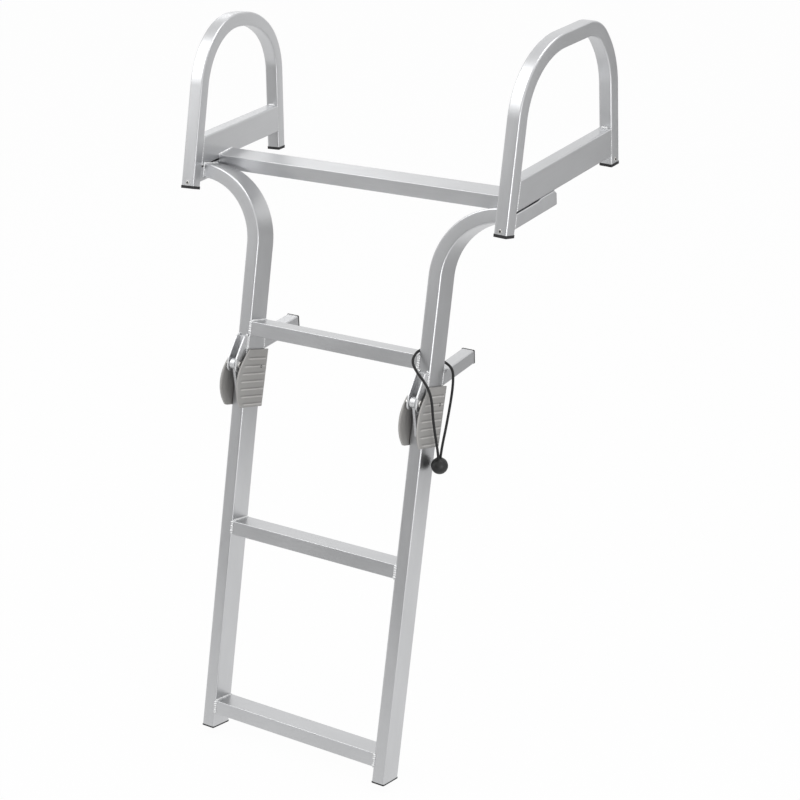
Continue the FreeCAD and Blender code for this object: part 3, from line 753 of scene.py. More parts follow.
# %% [markdown]
# ## Side rails
#
# A side rail is the deep tube, with its narrow face to the climber. The upper rail
# curls outward at the top like a swan's neck and ends against the inner face of the
# handrail, so its last station is slid onto that wall. The lower rail is straight.
# The two meet at the split with half a millimetre between them, where the hinge
# opens, and there both ends stay square.

# %% Side rails
NECK_Z, NECK_RADIUS, NECK_END = -12.0, 103.0, 300.0
SPLIT_GAP = 0.5
ACROSS = Vector((1, 0, 0))
deep_section = rounded_section(WIDE, DEEP)


def hoop_wall(name, side):
    """A point just inside the inner face of a handrail's tube, and that face's normal."""
    point = HOOP[name] @ Vector((-side * (WIDE / 2 - BITE), 0, 0))
    return point, (HOOP[name].to_3x3() @ ACROSS).normalized()


for name, side in SIDES.items():
    plane = shift(LADDER, 0, DEEP / 2, 0) @ XZ_PLANE
    x = side * RAIL_X
    neck = [(x, -SPLIT), (x, NECK_Z, NECK_RADIUS), (side * NECK_END, NECK_Z)]
    stations = stations_in_plane(neck, plane)
    stations[-1] = land_on(stations[-1], ACROSS, *hoop_wall(name, side))
    remake(f"upper_rail_{name}", f"upper_rail_tube_{name}", sweep(deep_section, stations))
    straight = stations_in_plane([(x, FLANGE - RAIL_LENGTH), (x, -SPLIT - SPLIT_GAP)], plane)
    remake(f"lower_rail_{name}", f"lower_rail_tube_{name}", sweep(deep_section, straight))

# %% [markdown]
# ## Steps
#
# The four steps are the deep tube laid flat. The top one stays level and reaches from
# handrail to handrail, so both its ends are cut to splayed walls. The others lean
# with the rails and butt against them. Their edges are crisper than the rails'.


# %% Steps
def cross_tube(node, frame_matrix, y, z, ends):
    """A tube along X between two planes, each a point and a normal."""
    stations = []
    for end, x in zip(ends, (-100, 100)):
        along_x = Matrix(((0, 0, 1, x), (1, 0, 0, y), (0, 1, 0, z), (0, 0, 0, 1)))
        stations.append(land_on(frame_matrix @ along_x, ACROSS, *end))
    remake(node, f"{node}_tube", sweep(rounded_section(DEEP, WIDE, STEP_CORNER), stations))


ends = [hoop_wall(name, side) for name, side in SIDES.items()]
cross_tube("top_step", LEVEL, RAIL_FRONT, -WIDE / 2, ends)
DROPS = {"second_step": 234.0, "third_step": 559.0, "fourth_step": 864.0}
ends = [(Vector((side * (INNER_X + BITE) * MM, 0, 0)), ACROSS) for side in (-1, 1)]
for node, drop in DROPS.items():
    cross_tube(node, LADDER, DEEP / 2, -drop - WIDE / 2, ends)

# %% [markdown]
# ## Standoffs
#
# A short level tube behind each rail holds the ladder away from the boat's side. Its
# front end is cut to the leaning back of the rail.

# %% Standoffs
STANDOFF_Z = -(SPLIT * math.cos(SLOPE) - 47.3 + WIDE / 2)
REACH = 69.0
BACKWARD = Vector((0, 1, 0))
rail_back = (LADDER @ Vector((0, DEEP - BITE, 0)), (LADDER.to_3x3() @ BACKWARD).normalized())
for name, side in SIDES.items():
    stations = []
    for y in (0.0, REACH - FLANGE):
        along_y = ((1, 0, 0, side * RAIL_X), (0, 0, 1, y), (0, -1, 0, STANDOFF_Z), (0, 0, 0, 1))
        stations.append(LEVEL @ Matrix(along_y))
    stations[0] = land_on(stations[0], BACKWARD, *rail_back)
    remake(f"standoff_{name}", f"standoff_tube_{name}", sweep(square, stations))

# %% [markdown]
# ## End caps
#
# Each tube ends in a black plastic cap that is pushed into it. Only its flange shows,
# rounded over at the rim, so that is all that is drawn. The handrails' caps are
# thicker feet that stand on the deck.

# %% Caps
RIM, RIM_CORNER = 0.6, 1.8
THICK, EXTRA = FLANGE + 0.4, 2.2
for name, side in SIDES.items():
    lean = Matrix.Rotation(-LEAN, 4, "X")
    lie = Matrix.Rotation(math.pi / 2, 4, "X")
    places = {
        "handrail_front_cap": (shift(HOOP[name], 0, *FOOT) @ lean, WIDE),
        "handrail_back_cap": (shift(HOOP[name], 0, BACK_LEG, BACK_FOOT[name]), WIDE),
        "standoff_cap": (shift(LEVEL, side * RAIL_X, REACH, STANDOFF_Z) @ lie, WIDE),
        "foot_cap": (shift(LADDER, side * RAIL_X, DEEP / 2, -RAIL_LENGTH), DEEP),
    }
    for cap, (place, depth) in places.items():
        extra = EXTRA if cap.startswith("handrail") else 0.0
        rim = rounded_section(WIDE + RIM, depth + RIM, RIM_CORNER)
        middle = shift(place, 0, 0, THICK / 2 - extra / 2)
        flange = prism(rim, THICK + extra, middle, bevel=0.4, sharp=40, steps=3)
        remake(f"{cap}_{name}", f"{cap}_flange_{name}", flange)

# %% [markdown]
# ## Hinges
#
# On each side rail a bracket of two flanges is welded to the upper rail, and a single
# plate with a round boss is welded to the lower rail. A bolt joins them in front of
# the rails, so the lower section folds up in front of the upper one. All of them are
# flat stock cut to an outline, so each is a prism, and a bracket is several joined.


# %% Outlines for flat stock
def rounded(corners, step=math.radians(9)):
    """A closed outline; a corner with a third value is rounded to that radius."""
    flat = [Vector(c[:2]) for c in corners]
    points = []
    for i, corner in enumerate(corners):
        if len(corner) < 3:
            points.append(flat[i])
            continue
        after = flat[(i + 1) % len(flat)]
        start, centre, turn, steps = arc(flat[i - 1], flat[i], after, corner[2], step)
        for k in range(steps + 1):
            points.append(centre + Matrix.Rotation(-turn * k / steps, 2) @ (start - centre))
    return points


def join(meshes):
    """Several meshes as one."""
    whole = bmesh.new()
    whole.loops.layers.uv.new("grain")
    for part in meshes:
        data = to_mesh("part", part)
        whole.from_mesh(data)
        bpy.data.meshes.remove(data)
    return whole


def on_rail(side, x=0.0):
    """The plane of a rail's middle, or one beside it."""
    return shift(LADDER, side * RAIL_X + x, 0, 0) @ YZ_PLANE


print("hinge bolts at", PIVOT, "mm")

# %% [markdown]
# ### Brackets
#
# A bracket is two flanges with a strip of metal between them, which is welded to the
# rail. The flanges hang down past the bolt and end in a round knuckle in front. The
# three are separate prisms in one mesh, because nothing shows where they meet.

# %% Brackets
KNUCKLE = 9.0
KNUCKLE_TOP = PIVOT[1] + KNUCKLE
FLANGE_NOSE = PIVOT[0] - KNUCKLE
FLANGE_LOW = PIVOT[1] - 12.5
FLANGE_X = 7.4
TOE, TOE_REACH = -258.0, -9.0
flange = rounded([
    (0.5, TOE), (TOE_REACH, TOE, 4.5), (FLANGE_NOSE, KNUCKLE_TOP, KNUCKLE),
    (FLANGE_NOSE, FLANGE_LOW, KNUCKLE), (-2.0, FLANGE_LOW, KNUCKLE / 2),
    (-2.0, KNUCKLE_TOP), (0.5, KNUCKLE_TOP),
])
base = [(-2.4, TOE - 1), (0.4, TOE - 1), (0.4, KNUCKLE_TOP), (-2.4, KNUCKLE_TOP)]


def bracket(side):
    """Two flanges and the strip between them."""
    pair = [
        prism(flange, 3.2, on_rail(side, x), bevel=1.0, sharp=30, steps=3)
        for x in (-FLANGE_X, FLANGE_X)
    ]
    return join(pair + [prism(base, 15.0, on_rail(side), bevel=0.4)])


print("a flange's outline has", len(flange), "points")

# %% [markdown]
# ### Links
#
# A link is a single plate on the lower rail that reaches up between the flanges. Its
# boss is thicker than the plate, so it sits close between them round the bolt.

# %% Links
LINK_HALF = KNUCKLE / 2
LINK_TOP, LINK_LOW = -SPLIT - 1.5, -356.0
web = rounded([
    (PIVOT[0] - LINK_HALF, PIVOT[1]), (PIVOT[0] + LINK_HALF, PIVOT[1]),
    (PIVOT[0] + LINK_HALF, LINK_TOP, 4.0), (0.5, LINK_TOP), (0.5, LINK_LOW),
    (-3.0, LINK_LOW, 2.0),
])
boss = circle(PIVOT, KNUCKLE - 0.5)


def link(side):
    """A plate and the boss round the bolt."""
    return join([
        prism(web, 5.0, on_rail(side), bevel=0.8, sharp=30, steps=3),
        prism(boss, 9.4, on_rail(side), bevel=0.9, sharp=30, steps=3),
    ])


print("a link reaches", PIVOT[1] - LINK_LOW, "mm down from the bolt")

# %% [markdown]
# ### Bolts
#
# A bolt has a hexagon at both ends, a head and a nut of one size. A hexagon is a
# circle of six points. Its size is given across the flats, as for a spanner, and the
# corners lie further out by one over the cosine of 30 degrees.

# %% Bolts
BOLT_RADIUS, BOLT_LENGTH = 3.4, 24.0
NUT_FLAT, NUT_THICK, NUT_X = 5, 3.0, 10.4
nut = circle(PIVOT, NUT_FLAT / math.cos(math.pi / 6), 6)
shank = circle(PIVOT, BOLT_RADIUS)


def bolt(side):
    """A shank with a hexagon at each end."""
    return join([prism(shank, BOLT_LENGTH, on_rail(side), bevel=0.7, sharp=30)] + [
        prism(nut, NUT_THICK, on_rail(side, x), bevel=0.5, sharp=30) for x in (-NUT_X, NUT_X)
    ])


for name, side in SIDES.items():
    remake(f"hinge_bracket_{name}", f"hinge_flanges_{name}", bracket(side))
    remake(f"hinge_link_{name}", f"hinge_link_plate_{name}", link(side))
    remake(f"pivot_bolt_{name}", f"hinge_bolt_{name}", bolt(side))

# %% [markdown]
# ## Hinge covers
#
# Each cover is one moulding in soft grey plastic, a U seen from above. Its side walls
# end in a round lobe at the front, flare a little, and carry seven grip ribs that run
# down slightly towards the rear. It could be cut out of a solid, but the ribs and the
# flare are easier on a grid of points, row by row down the height, which bends round
# the U. The first step is the front edge of a side wall, which says where each row
# starts.

# %% The side wall's front edge
TILT = math.tan(math.radians(3.2))
COVER_TOP, COVER_LOW = 42.7 - SPLIT, -50.5 - SPLIT
COVER_HEIGHT = COVER_TOP - COVER_LOW
LOBE_Z = (COVER_TOP + COVER_LOW) / 2 - 5.0
edge = rounded([
    (54.0, COVER_TOP - 54 * TILT), (-1.0, COVER_TOP + TILT, 3.0), (-46.0, LOBE_Z, 54.0),
    (-14.0, COVER_LOW + 14 * TILT, 6.0), (50.0, COVER_LOW - 50 * TILT),
], math.radians(4))
FRONT_EDGE = sorted((p.y + p.x * TILT, p.x) for p in edge[1:-1])


def lip(level):
    """Y of the front edge on the row at a level."""
    if level >= FRONT_EDGE[-1][0]:
        return FRONT_EDGE[-1][1]
    for (z0, y0), (z1, y1) in zip(FRONT_EDGE, FRONT_EDGE[1:]):
        if z0 <= level <= z1 and z1 > z0:
            return y0 + (y1 - y0) * (level - z0) / (z1 - z0)
    return FRONT_EDGE[0][1]


print("the lobe's front is at", round(min(y for _, y in FRONT_EDGE), 1), "mm")

# %% [markdown]
# ### Rows round the U
#
# A row runs from the front edge of one side wall to its rear corner, along the back
# and forward again. A rib is only a place where the wall stands further out. It
# fades near the front edge, near the back and round the screw, as it does on the
# real moulding. Displacing a plain wall with a texture would blur those ends.


# %% Rows round the U
COVER_WALL = 2.3
COVER_HALF = WIDE / 2 + 1.2 + COVER_WALL
BACK_LOW, BACK_SLANT, BACK_BEND = 50.0, 4.0, 4.0
WALL_STEPS, BEND_STEPS = 24, 6
RIBS, RIB_PITCH, RIB_HEIGHT = 7, 12.3, 1.8
RIB_TOP = COVER_TOP - 13.0
SCREW_AT = (36.0, 12.5 - SPLIT)
RIB_STARTS, RIB_ENDS = (8.0, 11.0), (44.0, 47.0)
SCREW_CLEAR = (3.0, 4.5)


def smooth(low, high, value):
    """0 below low, 1 above high, and a soft step between."""
    t = min(1.0, max(0.0, (value - low) / (high - low)))
    return t * t * (3 - 2 * t)


def ribbed(level):
    """How far a rib has risen at a level, from 0 to 1."""
    if not RIB_TOP - RIBS * RIB_PITCH < level < RIB_TOP:
        return 0.0
    place = (RIB_TOP - level) % RIB_PITCH
    return smooth(0, 1.6, place) * (1 - smooth(1.8, 4.5, place))


def row(side, level, skin, rib):
    """Points round the U at a level; a skin of 0 is the outside, and the wall the inside."""
    back = BACK_LOW + BACK_SLANT * ((level - COVER_LOW) / COVER_HEIGHT) - skin
    lead = lip(level) + 0.4 * skin
    bend = BACK_BEND - skin / 2
    walls = {-1: [], 1: []}
    for hand, wall in walls.items():
        for c in range(WALL_STEPS + 1):
            y = lead + (back - bend - lead) * c / WALL_STEPS
            flare = 2.0 * max(0.0, -y / 30) ** 1.5
            grip = smooth(*RIB_STARTS, y - lead) * (1 - smooth(*RIB_ENDS, y))
            gap = math.hypot(y - SCREW_AT[0], level - y * TILT - SCREW_AT[1])
            grip *= smooth(*SCREW_CLEAR, gap) * rib
            wall.append((hand * (COVER_HALF - skin + flare + RIB_HEIGHT * grip), y))
        for k in range(1, BEND_STEPS + 1):
            a = math.pi / 2 * k / BEND_STEPS
            x = COVER_HALF - skin - bend + bend * math.cos(a)
            wall.append((hand * x, back - bend + bend * math.sin(a)))
    middle = [((COVER_HALF - skin - bend) * k / 3, back) for k in (-2, -1, 0, 1, 2)]
    line = walls[-1] + middle + walls[1][::-1]
    return [(side * RAIL_X + x, y, level - y * TILT) for x, y in line]


print("a row has", len(row(1, COVER_TOP, 0.0, 0.0)), "points")

# %% [markdown]
# ### Two skins and a rim
#
# The wall has a thickness, which a Solidify modifier could give, but that would
# press the ribs through to the inside. So there are two skins, an outer one with ribs
# and a plain inner one, and a rim of faces joins their edges. The back's upper edge
# has a wide notch, which is made by leaving faces out.


# %% Two skins and a rim
ROWS, NOTCH, NOTCH_COLUMNS = 190, 8.5, (26, 27)
LEVELS = [COVER_TOP + (COVER_LOW - COVER_TOP) * r / ROWS for r in range(ROWS + 1)]


def cover_skins(side):
    """The moulding as a mesh, and the points of its outer skin, row by row."""
    mesh = bmesh.new()
    outer, inner = [], []
    for level in LEVELS:
        outer.append([mesh.verts.new(p) for p in row(side, level, 0.0, ribbed(level))])
        inner.append([mesh.verts.new(p) for p in row(side, level, COVER_WALL, 0.0)])
    wide = len(outer[0])
    for r in range(ROWS):
        notched = LEVELS[r] > COVER_TOP - NOTCH
        for c in range(wide - 1):
            if notched and NOTCH_COLUMNS[0] <= c < wide - NOTCH_COLUMNS[1]:
                continue
            o, p, i, j = outer[r], outer[r + 1], inner[r], inner[r + 1]
            mesh.faces.new((o[c], o[c + 1], p[c + 1], p[c]))
            mesh.faces.new((i[c], j[c], j[c + 1], i[c + 1]))
    twin = {a: b for one, two in zip(outer, inner) for a, b in zip(one, two)}
    borders = [e for e in mesh.edges if len(e.link_faces) == 1]
    for a, b in [e.verts for e in borders if all(v in twin for v in e.verts)]:
        mesh.faces.new((a, b, twin[b], twin[a]))
    bmesh.ops.delete(mesh, geom=[v for v in mesh.verts if not v.link_faces], context="VERTS")
    bmesh.ops.recalc_face_normals(mesh, faces=mesh.faces)
    return mesh, outer


print("a cover has", ROWS + 1, "rows in each skin")

# %% [markdown]
# ### Painted light on the ribs
#
# The crests of the ribs and the front rim carry a painted highlight, and painted shade lies at
# each rib's upper foot. A texture would have to be lined up with the ribs, while the mesh already
# knows where they are, so each point's painted tone is worked out from its place.


# %% Painted light on the ribs
# The inside tone is darker than the plain wall's, as painted shade inside the moulding.
PLAIN, INSIDE_SHADE = 0.4, 0.36


def rib_painted_light(level, y, lead):
    """How light a point is painted, from 0 to 1: painted highlights on crests and rim, painted
    shade at the ribs' upper feet.
    """
    place = (RIB_TOP - level + 2) % RIB_PITCH - 2
    on_rib = RIB_TOP - RIBS * RIB_PITCH < level < RIB_TOP + 1.5
    grip = smooth(9.0, 13.0, y - lead) * (1 - smooth(43.0, 46.0, y)) if on_rib else 0.0
    # A painted highlight along each rib's crest.
    crest_highlight = smooth(0.7, 1.3, place) * (1 - smooth(2.0, 3.2, place))
    # Painted shade just above each rib, where it meets the wall.
    rib_foot_shade = smooth(-1.6, -0.4, place) * (1 - smooth(0.2, 0.7, place))
    # A painted highlight along the front rim.
    rim = 1 - smooth(0.4, 1.6, y - lead)
    return PLAIN + grip * (0.42 * crest_highlight - 0.22 * rib_foot_shade) + 0.3 * rim


for name, side in SIDES.items():
    mesh, outer = cover_skins(side)
    # Each point of the outer skin gets its painted tone from its place on the ribs and rim.
    painted_tone = {
        vert: rib_painted_light(level, vert.co.y, verts[0].co.y)
        for level, verts in zip(LEVELS, outer) for vert in verts if vert.is_valid
    }
    grain = mesh.loops.layers.uv.new("grain")
    for face in mesh.faces:
        for loop in face.loops:
            # Points of the inner skin take the darker inside tone, painted shade inside the
            # moulding.
            loop[grain].uv = (painted_tone.get(loop.vert, INSIDE_SHADE), 0.0)
    bmesh.ops.transform(mesh, matrix=LADDER, verts=mesh.verts)
    remake(f"hinge_cover_{name}", f"hinge_cover_moulding_{name}", mesh)

# %% [markdown]
# ## Cover screws
#
# A small screw holds each side of a cover. The head is a low dome, turned from a
# profile as on a lathe. A cross recess could be cut with a boolean, but on a head
# five millimetres wide it is enough to sink the points that lie on the cross.


# %% Cover screws
def revolve(mesh, profile, count):
    """Rings of points for a profile of radii and heights; a radius of 0 is one point."""
    turns = [2 * math.pi * i / count for i in range(count)]
    rings = []
    for r, z in profile:
        spots = [(0, 0, z)] if r == 0 else [(r * math.cos(a), r * math.sin(a), z) for a in turns]
        rings.append([mesh.verts.new(spot) for spot in spots])
    for lower, upper in zip(rings, rings[1:]):
        for i in range(count):
            j = (i + 1) % count
            if len(lower) == 1:
                mesh.faces.new((lower[0], upper[j], upper[i]))
            elif len(upper) == 1:
                mesh.faces.new((lower[i], lower[j], upper[0]))
            else:
                mesh.faces.new((lower[i], lower[j], upper[j], upper[i]))
    return rings


def screw(radius, height, plane, recess=0.5):
    """A low domed head with a cross recess."""
    mesh = bmesh.new()
    angles = [math.pi / 2 * k / 5 for k in range(5)]
    dome = [(radius * math.cos(a), height * math.sin(a)) for a in angles] + [(0, height)]
    rings = revolve(mesh, dome, 24)
    for v in mesh.verts:
        across, along = abs(v.co.x), abs(v.co.y)
        if min(across, along) < radius * 0.22 and max(across, along) < radius * 0.62:
            v.co.z -= recess
    mesh.faces.new(rings[0][::-1])
    mesh.loops.layers.uv.new("grain")
    bmesh.ops.transform(mesh, matrix=plane, verts=mesh.verts)
    bmesh.ops.recalc_face_normals(mesh, faces=mesh.faces)
    return mesh


def faces_x(hand):
    """Turns a head's axis from Z to X, towards a side."""
    return Matrix.Rotation(hand * math.pi / 2, 4, "Y")


for name, side in SIDES.items():
    for hand in (-1, 1):
        where = "outer" if hand == side else "inner"
        x = side * RAIL_X + hand * (COVER_HALF - 0.1)
        # The head is near-black as painted shade for the recess that it sits in.
        head = screw(2.6, 0.8, shift(LADDER, x, *SCREW_AT) @ faces_x(hand), 0.7)
        remake(f"cover_screw_{name}_{where}", f"cover_screw_head_{name}_{where}", head, SCREW)

# %% [markdown]
# ### Screws that hold the handrails' caps
#
# Each of the handrails' four caps is held by a screw on a bright washer, in front on the front
# legs and outside on the back legs. The screw is near-black as painted shade, standing for the
# shaded recess of its head. They are too small for nodes of their own in the imported model, so
# they are two added pieces, one for each finish.

# %% Screws that hold the handrails' caps
UP_LEG, OUT_LEG = 7.0, WIDE / 2
BACK_SCREW = 8.0
spots = []
washer = circle((0, 0), 3.3, 24)
for name, side in SIDES.items():
    front = (
        0,
        FOOT[0] + UP_LEG * math.sin(LEAN) - OUT_LEG * math.cos(LEAN),
        FOOT[1] + UP_LEG * math.cos(LEAN) + OUT_LEG * math.sin(LEAN),
    )
    spots.append(shift(HOOP[name], *front) @ Matrix.Rotation(math.pi / 2 - LEAN, 4, "X"))
    back = (side * WIDE / 2, BACK_LEG, BACK_FOOT[name] + BACK_SCREW)
    spots.append(shift(HOOP[name], *back) @ faces_x(side))
for kind, finish, meshes in (
    ("washers", STEEL, [prism(washer, 1.4, s, bevel=0.5, sharp=30) for s in spots]),
    ("screws", SCREW, [screw(1.7, 0.9, shift(s, 0, 0, 0.6)) for s in spots]),
):
    data = to_mesh(f"cap_{kind}", join(meshes))
    make_piece(f"cap_{kind}", data, "upper_section", finish)
    print(len(spots), kind, "on the handrails' caps")

# %% [markdown]
# ## Weld beads
#
# Welded aluminium shows a bead like a row of fallen coins. Each bead is a tube of
# small rings whose size swells and shrinks once per coin, sunk halfway into the seam.
# A texture could paint that, but a bead also catches light at its outline, so it is
# modelled. The coins' sizes are drawn at random from a seed that is fixed for each
# bead, so neighbours differ and every run gives the same ladder.

# %% Beads
COIN, COIN_STEPS, RING = 3.6, 6, 10
beads = {"upper_section": [], "lower_section": []}


def bead(points, radius, frame_matrix, seed):
    """A rippled bead along a straight seam, closed and tapered at its ends."""
    dice = random.Random(seed)
    start, end = [Vector(p) for p in points]
    total = (end - start).length
    run = (end - start).normalized()
    steps = max(6, int(total / COIN * COIN_STEPS))
    side_axis = run.orthogonal().normalized()
    up_axis = run.cross(side_axis)
    turns = [2 * math.pi * n / RING for n in range(RING)]
    mesh = bmesh.new()
    mesh.loops.layers.uv.new("grain")
    rings = []
    wobble = [dice.uniform(0.86, 1.12) for _ in range(int(total / COIN) + 3)]
    for k in range(steps + 1):
        s = total * k / steps
        swell = 0.6 + 0.4 * abs(math.sin(math.pi * s / COIN)) ** 0.6
        ends = min(1.0, (min(s, total - s) + 0.25 * radius) / (0.9 * radius))
        size = radius * swell * wobble[int(s / COIN)] * math.sqrt(max(0.05, ends))
        spot = start + run * s
        rings.append([
            mesh.verts.new(spot + (side_axis * math.cos(a) + up_axis * math.sin(a)) * size)
            for a in turns
        ])
    for a, b in zip(rings, rings[1:]):
        for n in range(RING):
            m = (n + 1) % RING
            mesh.faces.new((a[n], a[m], b[m], b[n]))
    mesh.faces.new(rings[0][::-1])
    mesh.faces.new(rings[-1])
    bmesh.ops.transform(mesh, matrix=frame_matrix, verts=mesh.verts)
    bmesh.ops.recalc_face_normals(mesh, faces=mesh.faces)
    return mesh


def weld(body, start, end, radius, frame_matrix):
    """Lays a bead from one point to another on a body."""
    seed = len(beads[body]) + len(body)
    beads[body].append(bead((start, end), radius, frame_matrix, seed))


print("a coin every", COIN, "mm")

# %% [markdown]
# ### Welds of the steps
#
# The three leaning steps are welded all round where they butt against the rails, so
# each end gets four beads, and the one in front is the largest. The beads could be
# found from the meshes' crossings, but a dozen straight seams are quicker to write
# down. All beads of a body become one piece, because they move together.

# %% Welds of the steps
for node, drop in DROPS.items():
    low = -drop - WIDE
    for x in (-INNER_X, INNER_X):
        weld(BODY[node], (x, 1.5, -drop), (x, DEEP - 1.5, -drop), 2.3, LADDER)
        weld(BODY[node], (x, 1.5, low), (x, DEEP - 1.5, low), 1.9, LADDER)
        for y, size in ((0.2, 2.7), (DEEP - 0.4, 2.1)):
            weld(BODY[node], (x, y, -drop + 0.5), (x, y, low - 0.5), size, LADDER)
print("welds of the steps:", {body: len(laid) for body, laid in beads.items()})

# %% [markdown]
# ### Welds of a handrail, a neck, a standoff and a hinge
#
# Each function lays the beads of one joint. A neck and the top step are drawn in
# other frames than the handrail that they end on, so their corners are first taken
# into the handrail's frame.


# %% Where the other welds are
STEP_END_X, NECK_END_X = (270, 275), (268, 272)  # in front and behind
PLATE_FOOT_Y, PLATE_HEAD_Y = 30, 40
TOE_WELD, LINK_WELD_TOP = 32, -326.0


def weld_handrail(hoop):
    """The plate and the bar against the handrail's legs."""
    low_z, high_z = plate_z(PLATE_LOW, PLATE_FOOT_Y), plate_z(PLATE_HIGH, PLATE_HEAD_Y)
    bar_z = plate_z(BAR_LOW, NEAR_LEG)
    for x in (-WIDE / 2 + 0.8, WIDE / 2 - 0.8):
        for start, end, size in (
            ((leg_y(low_z), low_z + 1), (leg_y(high_z), high_z - 1), 1.3),
            ((PLATE_BACK, PLATE_LOW + 1), (PLATE_BACK, PLATE_HIGH - 1), 1.3),
            ((leg_y(bar_z), bar_z + 1), (leg_y(bar_z + WIDE - 2), bar_z + WIDE - 2), 1.2),
        ):
            weld("upper_section", (x, *start), (x, *end), size, hoop)
    front, back = (leg_y(high_z), high_z), (PLATE_BACK - 0.5, PLATE_HIGH)
    weld("upper_section", (-10, *front), (10, *front), 1.7, hoop)
    weld("upper_section", (-6, *back), (6, *back), 3.2, hoop)


def weld_neck(side, hoop):
    """The top step and the rail's neck against the handrail's inner face."""
    inner = -side * WIDE / 2
    step_front = DEEP / math.cos(SLOPE)
    near, far = [
        hoop.inverted() @ LEVEL @ Vector((side * x, y, 0))
        for x, y in zip(STEP_END_X, (step_front, step_front + DEEP))
    ]
    weld("upper_section", (inner, near.y + 1, near.z), (inner, far.y - 1, far.z), 2.2, hoop)
    neck = hoop.inverted() @ LADDER
    front, back, low = [
        (inner, *(neck @ Vector((side * x, y, z))).yz)
        for x, y, z in (
            (NECK_END_X[0], 0, -1), (NECK_END_X[1], DEEP, -1), (NECK_END_X[0], 0, -1 - WIDE)
        )
    ]
    weld("upper_section", front, back, 2.1, hoop)
    weld("upper_section", low, front, 1.8, hoop)


def weld_standoff(side):
    """The standoff against the rail's leaning back."""
    middle = (DEEP + STANDOFF_Z * math.sin(SLOPE)) / math.cos(SLOPE)
    half = WIDE / 2 - 1
    rise = half * math.tan(SLOPE)
    for x in (side * RAIL_X - half, side * RAIL_X + half):
        low, high = (x, middle - rise, STANDOFF_Z - half), (x, middle + rise, STANDOFF_Z + half)
        weld("upper_section", low, high, 1.6, LEVEL)


def weld_hinge(side):
    """The bracket and the link against the rails' fronts."""
    for body, offset, start, end, size in (
        ("upper_section", FLANGE_X + 1.6, (-0.3, TOE), (-0.3, TOE - TOE_WELD), 2.0),
        ("upper_section", FLANGE_X, (-0.2, TOE + 1.5), (-3.4, TOE + 0.8), 2.4),
        ("lower_section", 2.6, (-0.2, LINK_WELD_TOP), (-0.2, LINK_LOW), 1.3),
    ):
        for x in (side * RAIL_X - offset, side * RAIL_X + offset):
            weld(body, (x, *start), (x, *end), size, LADDER)


for name, side in SIDES.items():
    weld_handrail(HOOP[name])
    weld_neck(side, HOOP[name])
    weld_standoff(side)
    weld_hinge(side)
for body, meshes in beads.items():
    name = f"weld_beads_{body}"
    print(name, len(meshes))
    make_piece(name, to_mesh(name, join(meshes)), body, WELD)

# %% [markdown]
# ## Bungee loop
#
# A stretch cord is doubled through a black ball. One strand hangs outside the right rail, and the
# loop goes round the back of the rail, over the second step and down the front again. A curve with
# a round bevel suits a cord, because its thickness and its length are then plain numbers.

# %% Bungee cord
BUNGEE_ROUTE = [
    (190, -71.5, -385), (190, -66, -368), (188, -50, -346), (187, -38, -324),
    (187, -28, -300), (187, -22, -278), (183, -15, -262), (170, -9, -256),
    (155, -9, -252), (145, -14, -238), (146, -28, -227), (149.8, -48, -221.5),
    (149.8, -68, -221), (151.5, -82, -229), (161.5, -86, -242), (174, -86, -255),
    (184, -87, -270), (188, -88, -288), (188, -87, -308), (189, -85, -331),
    (190, -82, -352), (190.5, -79, -370), (190, -76.5, -385),
]
line = bpy.data.curves.new("bungee_loop", "CURVE")
line.dimensions = "3D"
strand = line.splines.new("NURBS")
strand.points.add(len(BUNGEE_ROUTE) - 1)
for point, spot in zip(strand.points, BUNGEE_ROUTE):
    point.co = (LEVEL @ Vector(spot)).to_4d()
strand.order_u = 3
strand.use_endpoint_u = True
line.bevel_depth = 2.0 * MM
line.bevel_resolution = 6
line.resolution_u = 12
line.use_fill_caps = True
line.materials.append(CORD.material)
bungee = bpy.data.objects.new("bungee_loop", line)
bpy.context.collection.objects.link(bungee)
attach(bungee, "upper_section")
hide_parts("bungee_cord")
print("bungee route:", len(BUNGEE_ROUTE), "points")

# %% [markdown]
# ## Ball
#
# The ball is a sphere with a small collar on top, where both strands go in. It is
# turned like a piece on a lathe: one profile carried round an axis.

# %% Ball and cord together
BALL_AT, BALL_RADIUS = (190.0, -74.0, -395.0), 13
COLLAR = [(5.6, 11.7), (4.9, 12.2), (4.6, 13.0), (4.0, 13.5), (3.2, 13.4), (2.8, 12.4)]
latitudes = [math.radians(degrees) for degrees in range(-86, 64, 6)]
sphere = [(BALL_RADIUS * math.cos(a), BALL_RADIUS * math.sin(a)) for a in latitudes]
mesh = bmesh.new()
mesh.loops.layers.uv.new("grain")
revolve(mesh, [(0, -BALL_RADIUS), *sphere, *COLLAR, (0, 11.5)], 48)
bmesh.ops.transform(mesh, matrix=shift(LEVEL, *BALL_AT), verts=mesh.verts)
bmesh.ops.recalc_face_normals(mesh, faces=mesh.faces)
ball = remake("bungee_ball", "bungee_ball_moulding", mesh)

# %% [markdown]
# ## Studio
#
# The ladder stands on a plain pale floor. The world is white to the camera and in
# reflections, and dimmer for everything else, so the metal shows a bright room while
# the lamps keep colours about as they are written. The floor does the same: it is
# white where the camera or the metal sees it, and keeps a little of its shadow.

# %% Floor and world
WORLD_LIGHT = 0.55
low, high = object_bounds()
floor_mesh = bmesh.new()
bmesh.ops.create_grid(floor_mesh, x_segments=1, y_segments=1, size=14.0)
floor = bpy.data.objects.new("floor", to_mesh("floor", floor_mesh))
bpy.context.collection.objects.link(floor)
floor.location.z = low[2]
pale = Finish("pale_floor", Base_Color=(0.82, 0.82, 0.82, 1), Roughness=0.9)
floor.data.materials.append(pale.material)


def background_rays(tree):
    """1 where the camera, or metal, sees the background itself."""
    path = add_node(tree, "ShaderNodeLightPath")
    kinds = ("Is Camera Ray", "Is Glossy Ray", "Is Transmission Ray")
    rays = [Wire(tree, path.outputs[kind]) for kind in kinds]
    return (rays[0] + rays[1] + rays[2]).clamp(0, 1)


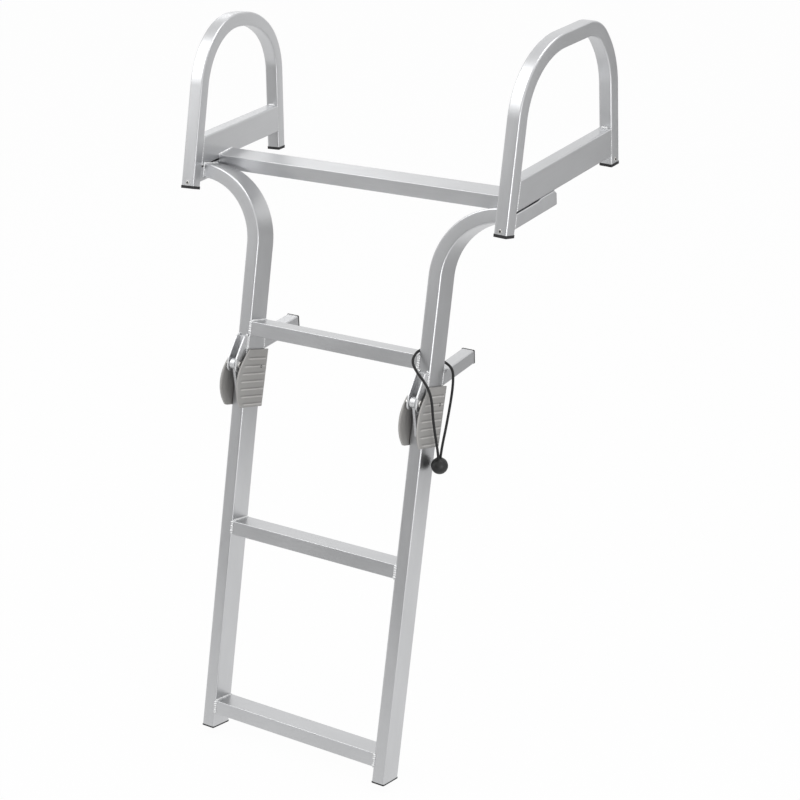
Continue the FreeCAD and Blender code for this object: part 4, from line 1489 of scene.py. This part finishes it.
glow = add_node(pale.tree, "ShaderNodeEmission", None, {"Color": (1, 1, 1, 1), "Strength": 1.0})
layers = {
    0: background_rays(pale.tree) * 0.97,
    1: Wire(pale.tree, pale.surface.outputs[0]),
    2: Wire(pale.tree, glow.outputs[0]),
}
blend = add_node(pale.tree, "ShaderNodeMixShader", None, layers)
pale.tree.links.new(blend.outputs[0], pale.tree.nodes["Material Output"].inputs["Surface"])

world = bpy.data.worlds.new("studio")
bpy.context.scene.world = world
world.use_nodes = True
tree = world.node_tree
strength = background_rays(tree) * (1 - WORLD_LIGHT) + WORLD_LIGHT
tree.links.new(strength.socket, tree.nodes["Background"].inputs["Strength"])
tree.nodes["Background"].inputs["Color"].default_value = (1, 1, 1, 1)
print("floor at", round(low[2], 4), "m")

# %% [markdown]
# ## Lamps and cards
#
# Metal shows what stands round it, so a product table has grey cards beside it as
# well as lamps: without them, every face of a bright tube in a white room is white.
# The cards here are seen only in reflections. The front one grows darker towards its
# right side, which gives the right rail a deeper grey than the left one.


# %% Lamps and cards
def face_to(thing, place, aim):
    """Puts a thing at a place, with its Z axis away from a point."""
    thing.location = place
    away_from = Vector(place) - Vector(aim)
    thing.rotation_euler = away_from.to_track_quat("Z", "Y").to_euler()


def soft_box(name, place, size, watts):
    """A square lamp that faces the ladder's middle."""
    lamp = bpy.data.lights.new(name, "AREA")
    lamp.shape = "RECTANGLE"
    lamp.size, lamp.size_y, lamp.energy = *size, watts
    box = bpy.data.objects.new(name, lamp)
    bpy.context.collection.objects.link(box)
    box.visible_camera = False
    face_to(box, place, MIDDLE)


def card(name, place, aim, size, grey, fade=0.0):
    """A grey card that only reflections show; a fade makes its right side darker."""
    mesh = bmesh.new()
    bmesh.ops.create_grid(mesh, x_segments=1, y_segments=1, size=size / 2)
    panel = bpy.data.objects.new(name, to_mesh(name, mesh))
    bpy.context.collection.objects.link(panel)
    face_to(panel, place, aim)
    paper = Finish(name, Roughness=0.9)
    across = paper.wire("ShaderNodeSeparateXYZ", 0, Vector=paper.place())
    shade = across.clamp(-size / 2, size / 2)
    paper.set(Base_Color=paper.mix(shade, [grey + fade] * 3, [grey - fade] * 3))
    panel.data.materials.append(paper.material)
    panel.visible_camera = panel.visible_diffuse = panel.visible_shadow = False


MIDDLE = (0.0, -0.1, -0.3)
soft_box("back_light", (-2.0, 2.2, 1.5), (1.2, 0.36), 3.0)
soft_box("edge_light", (1.5, -0.95, -0.1), (0.8, 0.8), 6.5)
soft_box("top_light", (0.7, 0.5, 2.4), (1.5, 1.5), 20)
soft_box("key_light", (-1.5, -1.3, 1.95), (2.0, 2.0), 27)
card("front_card", (-0.55, -2.4, -0.7), MIDDLE, 2.9, 0.5, 0.2)
card("right_card", (1.9, 2.6, -0.45), MIDDLE, 1.4, 0.5)
card("low_card", (1.12, 1.42, -0.85), (1.12, 1.42, 9.0), 1.7, 0.66)
print("lamps:", len(bpy.data.lights))
